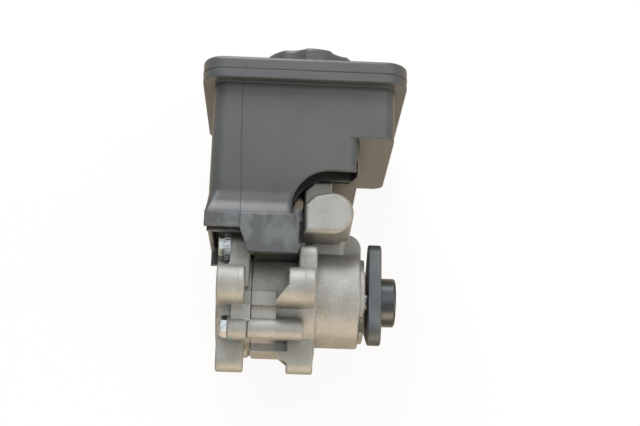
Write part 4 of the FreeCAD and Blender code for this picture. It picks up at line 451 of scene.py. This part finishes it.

# Reservoir, lid and cap: black glass-filled nylon, injection moulded in tools with an eroded finish.
# The fine texture scatters light, so lit faces are a dull slate grey; edges and rubbed places are paler.
# The skirt and its saddles rub on brackets and carry pale scuffs. Shade is painted into the colour: recesses,
# the flare and the saddles' underside are darker.
NYLON_DEEP = "#3b3f41"
NYLON_PALE = "#444849"
NYLON_SCUFF = "#6c7477"
NYLON_EDGE = "#5f6465"
NYLON_SHADE_AND_SEAM = "#141516"
NYLON_GRAIN_MM = 0.8  # the eroded texture is 0.1 mm, drawn coarser so that it shows
NYLON_FLOW_MM = 30.0
NYLON_SHADE_REACH = 0.014
SCUFF_TOP_MM = 48.6
SCUFF_MM = 24.0
TANK_SCUFFED = 0.5
COVE_SHADE_TOP_MM = 80.0
SADDLE_BOTTOM_MM = 20.1
SADDLE_ROUND_MM = 5.0
FLARE_MIDDLE_MM = 57.0
FLARE_HALF_MM = 9.5
FLARE_RADIUS = 0.006
EDGE_RADIUS = 0.0014


def glass_filled_nylon(name, scuffed, flare_radius):
    """Moulded nylon, with a share of scuffs below the skirt's flare and a softness for that flare."""
    material = blank(name)
    tree = material.node_tree
    place = add(tree, "ShaderNodeTexCoord")
    mm = add(tree, "ShaderNodeVectorMath", {"operation": "SCALE", "Scale": 1000.0},
             {0: place.outputs["Object"]})
    grain = add(tree, "ShaderNodeTexNoise", {"Scale": 1 / NYLON_GRAIN_MM, "Detail": 2.0, "Roughness": 0.6},
                {"Vector": mm})
    flow = add(tree, "ShaderNodeTexNoise", {"Scale": 1 / NYLON_FLOW_MM, "Detail": 3.0}, {"Vector": mm})
    cloudy = add(tree, "ShaderNodeMapRange", {1: 0.35, 2: 0.65}, {0: flow})
    skin = add(tree, "ShaderNodeMix", {"data_type": "RGBA", 6: linear(NYLON_DEEP), 7: linear(NYLON_PALE)},
               {0: cloudy})
    shape = add(tree, "ShaderNodeNewGeometry")
    split = add(tree, "ShaderNodeSeparateXYZ", links={0: mm})
    flared = add(tree, "ShaderNodeMath", {"operation": "COMPARE", 1: FLARE_MIDDLE_MM, 2: FLARE_HALF_MM},
                 {0: split.outputs["Z"]})
    corner = add(tree, "ShaderNodeMapRange", {3: EDGE_RADIUS, 4: flare_radius}, {0: flared})
    edge = add(tree, "ShaderNodeBevel", {"samples": 8}, {"Radius": corner})
    turn = add(tree, "ShaderNodeVectorMath", {"operation": "DOT_PRODUCT"},
               {0: edge, 1: shape.outputs["Normal"]})
    rub = add(tree, "ShaderNodeMapRange", {1: 0.92, 2: 0.8, 3: 0.0, 4: 0.25}, {0: turn.outputs["Value"]})
    edged = add(tree, "ShaderNodeMix", {"data_type": "RGBA", 7: linear(NYLON_EDGE)},
                {0: rub, 6: skin.outputs[2]})
    # Painted shade: where occlusion finds a recess, the colour is mixed toward near black.
    hidden = add(tree, "ShaderNodeAmbientOcclusion", {"samples": 8, "Distance": NYLON_SHADE_REACH})
    recess_shade = add(tree, "ShaderNodeMapRange", {1: 0.8, 2: 0.3, 3: 0.0, 4: 0.85}, {0: hidden.outputs["AO"]})
    rubbed_and_shaded = add(tree, "ShaderNodeMix", {"data_type": "RGBA", 7: linear(NYLON_SHADE_AND_SEAM)},
                 {0: recess_shade, 6: edged.outputs[2]})
    # Painted shade: above the skirt's band the colour darkens towards the flare's bottom, by height.
    cove_shade = add(tree, "ShaderNodeMapRange", {1: SCUFF_TOP_MM, 2: COVE_SHADE_TOP_MM, 3: 0.75, 4: 0.0},
               {0: split.outputs["Z"]})
    above = add(tree, "ShaderNodeMath", {"operation": "GREATER_THAN", 1: SCUFF_TOP_MM},
                {0: split.outputs["Z"]})
    shaded = add(tree, "ShaderNodeMath", {"operation": "MULTIPLY"}, {0: cove_shade, 1: above})
    cove_shaded = add(tree, "ShaderNodeMix", {"data_type": "RGBA", 7: linear(NYLON_SHADE_AND_SEAM)},
                {0: shaded, 6: rubbed_and_shaded.outputs[2]})
    # Painted shade: faces low on the saddles, below the strap's edge, are coloured near black.
    facing = add(tree, "ShaderNodeSeparateXYZ", links={0: shape.outputs["Normal"]})
    lower = add(tree, "ShaderNodeMath", {"operation": "MULTIPLY_ADD", 1: SADDLE_ROUND_MM},
                {0: facing.outputs["Z"], 2: split.outputs["Z"]})
    underside_shade_mask = add(tree, "ShaderNodeMath", {"operation": "LESS_THAN", 1: SADDLE_BOTTOM_MM}, {0: lower})
    underside_shaded = add(tree, "ShaderNodeMix", {"data_type": "RGBA", 7: linear(NYLON_SHADE_AND_SEAM)},
               {0: underside_shade_mask, 6: cove_shaded.outputs[2]})
    low = add(tree, "ShaderNodeMath", {"operation": "LESS_THAN", 1: SCUFF_TOP_MM}, {0: split.outputs["Z"]})
    patch = add(tree, "ShaderNodeTexNoise", {"Scale": 1 / SCUFF_MM, "Detail": 4.0, "Roughness": 0.5},
                {"Vector": mm})
    worn = add(tree, "ShaderNodeMapRange", {1: 0.49, 2: 0.57, 3: 0.0, 4: scuffed}, {0: patch})
    scuffs = add(tree, "ShaderNodeMath", {"operation": "MULTIPLY"}, {0: low, 1: worn})
    colour = add(tree, "ShaderNodeMix", {"data_type": "RGBA", 7: linear(NYLON_SCUFF)},
                 {0: scuffs, 6: underside_shaded.outputs[2]})
    matt = add(tree, "ShaderNodeMapRange", {1: 0.3, 2: 0.7, 3: 0.34, 4: 0.43}, {0: grain})
    relief = add(tree, "ShaderNodeBump", {"Strength": 0.3, "Distance": 0.00006},
                 {"Height": grain, "Normal": edge})
    rough = add(tree, "ShaderNodeMath", {"operation": "MULTIPLY_ADD", 1: 0.45}, {0: underside_shade_mask, 2: matt})
    shader = add(tree, "ShaderNodeBsdfPrincipled", {"IOR": 1.53},
                 {"Base Color": colour.outputs[2], "Roughness": rough, "Normal": relief})
    add(tree, "ShaderNodeOutputMaterial", links={"Surface": shader})
    return material


tank_nylon = glass_filled_nylon("glass_filled_nylon_tank", TANK_SCUFFED, FLARE_RADIUS)
dress(tank_nylon, "reservoir_body")
lid_nylon = glass_filled_nylon("glass_filled_nylon_lid", 0.0, EDGE_RADIUS)
dress(lid_nylon, "reservoir_lid", "filler_cap")

# Parting line of the tank's mould: a slide formed the rear part of the wall, and a fine groove runs where it
# met the fixed half; its shade is painted as a thin dark bead.
# Ejector pins left two faint rings above the flare.
LINE_KNOTS = ((-0.1057, 0.1486), (-0.1052, 0.111), (-0.1035, 0.066), (-0.1031, 0.0487), (-0.1030, 0.040))
LINE_RADIUS = 0.00020
PIN_MARKS = {
    "ejector_mark_upper": (-0.0882, 0.0745, 0.0022),
    "ejector_mark_lower": (-0.0801, 0.0698, 0.0016)}
PIN_MARK_RADIUS = 0.00008
PIN_MARK_STEPS = 32
LINE_GREY = "#2a2d2e"
LINE_GRAIN_PER_M = 1200.0


def dull_nylon():
    material = blank("glass_filled_nylon_line")
    tree = material.node_tree
    place = add(tree, "ShaderNodeTexCoord")
    grain = add(tree, "ShaderNodeTexNoise", {"Scale": LINE_GRAIN_PER_M, "Detail": 2.0},
                {"Vector": place.outputs["Object"]})
    colour = add(tree, "ShaderNodeMix", {"data_type": "RGBA", 6: linear(NYLON_SHADE_AND_SEAM), 7: linear(LINE_GREY)},
                 {0: grain})
    shader = add(tree, "ShaderNodeBsdfPrincipled", {"Roughness": 0.6, "IOR": 1.53},
                 {"Base Color": colour.outputs[2]})
    add(tree, "ShaderNodeOutputMaterial", links={"Surface": shader})
    return material


line_nylon = dull_nylon()
tank = bpy.data.objects["reservoir_body"]
tank_points = []
for (x_0, z_0), (x_1, z_1) in zip(LINE_KNOTS, LINE_KNOTS[1:]):
    for step in range(MOULD_LINE_STEPS):
        share = step / MOULD_LINE_STEPS
        tank_points.append(front_of(tank, x_0 + share * (x_1 - x_0), z_0 + share * (z_1 - z_0)))
# Painted shade: this dark bead stands for the shade in the parting groove.
bead("tank_parting_line", tank_points, LINE_RADIUS, line_nylon)

for mark_name, (mark_x, mark_z, mark_radius) in PIN_MARKS.items():
    mark_points = []
    for step in range(PIN_MARK_STEPS):
        angle = math.tau * step / PIN_MARK_STEPS
        mark_points.append(front_of(tank, mark_x + mark_radius * math.cos(angle),
                                    mark_z + mark_radius * math.sin(angle)))
    bead(mark_name, mark_points, PIN_MARK_RADIUS, tank_nylon, True)

# Weld between tank and lid: the rims were melted on a hot plate and pressed together.
# A narrow dark line of squeezed-out nylon runs round the rim, with one small nick where it tore.
RIM_LOW = Vector((-0.1353, -0.0646))
RIM_HIGH = Vector((0.0145, 0.0756))
RIM_ROUND = 0.016
WELD_HEIGHT = 0.1558
WELD_RADIUS = 0.00028
WELD_CORNER_STEPS = 12
NICK_PLACE = (-0.1032, -0.0646)
NICK_LENGTH = 0.0022

weld_points = []
for corner_x, corner_y, start in ((RIM_HIGH.x - RIM_ROUND, RIM_HIGH.y - RIM_ROUND, 0.0),
                                  (RIM_LOW.x + RIM_ROUND, RIM_HIGH.y - RIM_ROUND, 0.25),
                                  (RIM_LOW.x + RIM_ROUND, RIM_LOW.y + RIM_ROUND, 0.5),
                                  (RIM_HIGH.x - RIM_ROUND, RIM_LOW.y + RIM_ROUND, 0.75)):
    for step in range(WELD_CORNER_STEPS + 1):
        angle = math.tau * (start + 0.25 * step / WELD_CORNER_STEPS)
        weld_points.append((corner_x + RIM_ROUND * math.cos(angle), corner_y + RIM_ROUND * math.sin(angle),
                            WELD_HEIGHT))
bead("rim_weld", weld_points, WELD_RADIUS, line_nylon, True)
nick_points = [(*NICK_PLACE, WELD_HEIGHT), (*NICK_PLACE, WELD_HEIGHT + NICK_LENGTH)]
bead("rim_nick", nick_points, WELD_RADIUS, line_nylon)

# Strainer and dipstick: natural nylon, injection moulded without pigment, clipped in place.
# Unpigmented nylon is a yellowish white with a satin surface.
NATURAL_DEEP = "#d3cbb0"
NATURAL_PALE = "#e2dbc5"
MILKY_MM = 3.0


def natural_nylon():
    material = blank("natural_nylon")
    tree = material.node_tree
    place = add(tree, "ShaderNodeTexCoord")
    mm = add(tree, "ShaderNodeVectorMath", {"operation": "SCALE", "Scale": 1000.0},
             {0: place.outputs["Object"]})
    milky = add(tree, "ShaderNodeTexNoise", {"Scale": 1 / MILKY_MM, "Detail": 3.0}, {"Vector": mm})
    colour = add(tree, "ShaderNodeMix",
                 {"data_type": "RGBA", 6: linear(NATURAL_DEEP), 7: linear(NATURAL_PALE)},
                 {0: milky})
    relief = add(tree, "ShaderNodeBump", {"Strength": 0.3, "Distance": 0.00003}, {"Height": milky})
    shader = add(tree, "ShaderNodeBsdfPrincipled", {"Roughness": 0.4, "IOR": 1.53},
                 {"Base Color": colour.outputs[2], "Normal": relief})
    add(tree, "ShaderNodeOutputMaterial", links={"Surface": shader})
    return material


dress(natural_nylon(), "strainer", "dipstick")

# Table: the pump lies on its back on a white sweep of paper, seen from above in the photograph.
# The sheet is only seen from the pump's side, and takes a faint shadow.
PAPER_WHITE = "#f6f3ee"
PAPER_WARM = "#ffeacb"
PAPER_GAP = 0.001
PAPER_HALF = 1.5
PAPER_GLOW = 0.9
PAPER_FIBRE_PER_M = 600.0


def paper():
    material = blank("white_paper")
    tree = material.node_tree
    place = add(tree, "ShaderNodeTexCoord")
    fibre = add(tree, "ShaderNodeTexNoise", {"Scale": PAPER_FIBRE_PER_M}, {"Vector": place.outputs["Object"]})
    relief = add(tree, "ShaderNodeBump", {"Strength": 0.1, "Distance": 0.0001}, {"Height": fibre})
    sheet = add(tree, "ShaderNodeBsdfPrincipled", {"Base Color": linear(PAPER_WHITE), "Roughness": 0.9},
                {"Normal": relief})
    path = add(tree, "ShaderNodeLightPath")
    tint = add(tree, "ShaderNodeMix",
               {"data_type": "RGBA", 6: linear(PAPER_WARM), 7: (1.0, 1.0, 1.0, 1.0)},
               {0: path.outputs["Is Camera Ray"]})
    glow = add(tree, "ShaderNodeEmission", {"Strength": 1.0}, {"Color": tint.outputs[2]})
    glossy = add(tree, "ShaderNodeMath", {"operation": "MAXIMUM"},
                 {0: path.outputs["Is Camera Ray"], 1: path.outputs["Is Glossy Ray"]})
    through = add(tree, "ShaderNodeMath", {"operation": "MAXIMUM"},
                  {0: glossy, 1: path.outputs["Is Transmission Ray"]})
    share = add(tree, "ShaderNodeMath", {"operation": "MULTIPLY", 1: PAPER_GLOW}, {0: through})
    seen = add(tree, "ShaderNodeMixShader", links={0: share, 1: sheet, 2: glow})
    side = add(tree, "ShaderNodeNewGeometry")
    clear = add(tree, "ShaderNodeBsdfTransparent")
    both = add(tree, "ShaderNodeMixShader", links={0: side.outputs["Backfacing"], 1: seen, 2: clear})
    add(tree, "ShaderNodeOutputMaterial", links={"Surface": both})
    return material


def table():
    far = plain_bounds[1].y + PAPER_GAP
    mesh = bpy.data.meshes.new("table")
    corners = [(-PAPER_HALF, far, -PAPER_HALF), (PAPER_HALF, far, -PAPER_HALF),
               (PAPER_HALF, far, PAPER_HALF), (-PAPER_HALF, far, PAPER_HALF)]
    mesh.from_pydata(corners, [], [(0, 1, 2, 3)])
    mesh.materials.append(paper())
    item = bpy.data.objects.new("table", mesh)
    bpy.context.scene.collection.objects.link(item)


table()

# Lamps: five large soft boxes. A strong cool one stands high in front, with weak cool ones in front
# and behind, and two warm ones to the right and below give back the light of the paper.
LAMPS = {
    "lamp_front": ((-0.35, -0.85, 1.45), 0.8, 28.0, "#fbfbff"),
    "lamp_fill": ((0.4, -1.4, 0.35), 1.2, 6.0, "#fbfbff"),
    "lamp_right": ((1.2, -0.5, -0.35), 0.9, 8.0, "#ffe6c8"),
    "lamp_below": ((0.0, -0.15, -1.3), 1.2, 19.0, "#ffe4c2"),
    "lamp_back": ((0.2, 1.2, 1.0), 0.9, 5.0, "#fbfbff")}
LAMP_TARGET = Vector((-0.05, 0.0, 0.05))

for lamp_name, (lamp_place, lamp_size, lamp_power, lamp_colour) in LAMPS.items():
    lamp = bpy.data.lights.new(lamp_name, "AREA")
    lamp.size = lamp_size
    lamp.energy = lamp_power
    lamp.color = linear(lamp_colour)[:3]
    lamp_item = bpy.data.objects.new(lamp_name, lamp)
    lamp_item.location = lamp_place
    lamp_item.rotation_mode = "QUATERNION"
    lamp_item.rotation_quaternion = (LAMP_TARGET - Vector(lamp_place)).to_track_quat("-Z", "Y")
    bpy.context.scene.collection.objects.link(lamp_item)

# Room: white all round for the camera and in reflections, dim for everything else.
ROOM_LIGHT = "#f1eee9"
ROOM_LEVEL = 0.35


def room():
    world = bpy.data.worlds.new("room")
    world.use_nodes = True
    tree = world.node_tree
    tree.nodes.clear()
    path = add(tree, "ShaderNodeLightPath")
    glossy = add(tree, "ShaderNodeMath", {"operation": "MAXIMUM"},
                 {0: path.outputs["Is Camera Ray"], 1: path.outputs["Is Glossy Ray"]})
    through = add(tree, "ShaderNodeMath", {"operation": "MAXIMUM"},
                  {0: glossy, 1: path.outputs["Is Transmission Ray"]})
    dim = add(tree, "ShaderNodeBackground", {"Color": linear(ROOM_LIGHT), "Strength": ROOM_LEVEL})
    white = add(tree, "ShaderNodeBackground", {"Color": (1.0, 1.0, 1.0, 1.0), "Strength": 1.0})
    seen = add(tree, "ShaderNodeMixShader", links={0: through, 1: dim, 2: white})
    add(tree, "ShaderNodeOutputWorld", links={"Surface": seen})
    bpy.context.scene.world = world


room()
bpy.context.scene.view_settings.view_transform = "Standard"

# Camera: a 75 mm lens about a metre away, a little below the pump's own horizon, as in the photograph.
CAMERA_PLACE = (-0.0704, -0.9614, -0.2133)
CAMERA_LENS = 74.8
CAMERA_SENSOR = 36.0
CAMERA_RIGHT = Vector((0.99896628, -0.03463224, 0.0294446))
CAMERA_DOWN = Vector((0.03796072, 0.27922245, -0.9594758))


def photo_camera():
    data = bpy.data.cameras.new("camera")
    data.lens = CAMERA_LENS
    data.sensor_width = CAMERA_SENSOR
    item = bpy.data.objects.new("camera", data)
    up = -CAMERA_DOWN
    back = CAMERA_RIGHT.cross(up)
    turn = Matrix((CAMERA_RIGHT, up, back)).transposed()
    item.matrix_world = Matrix.Translation(CAMERA_PLACE) @ turn.to_4x4()
    bpy.context.scene.collection.objects.link(item)
    bpy.context.scene.camera = item


photo_camera()
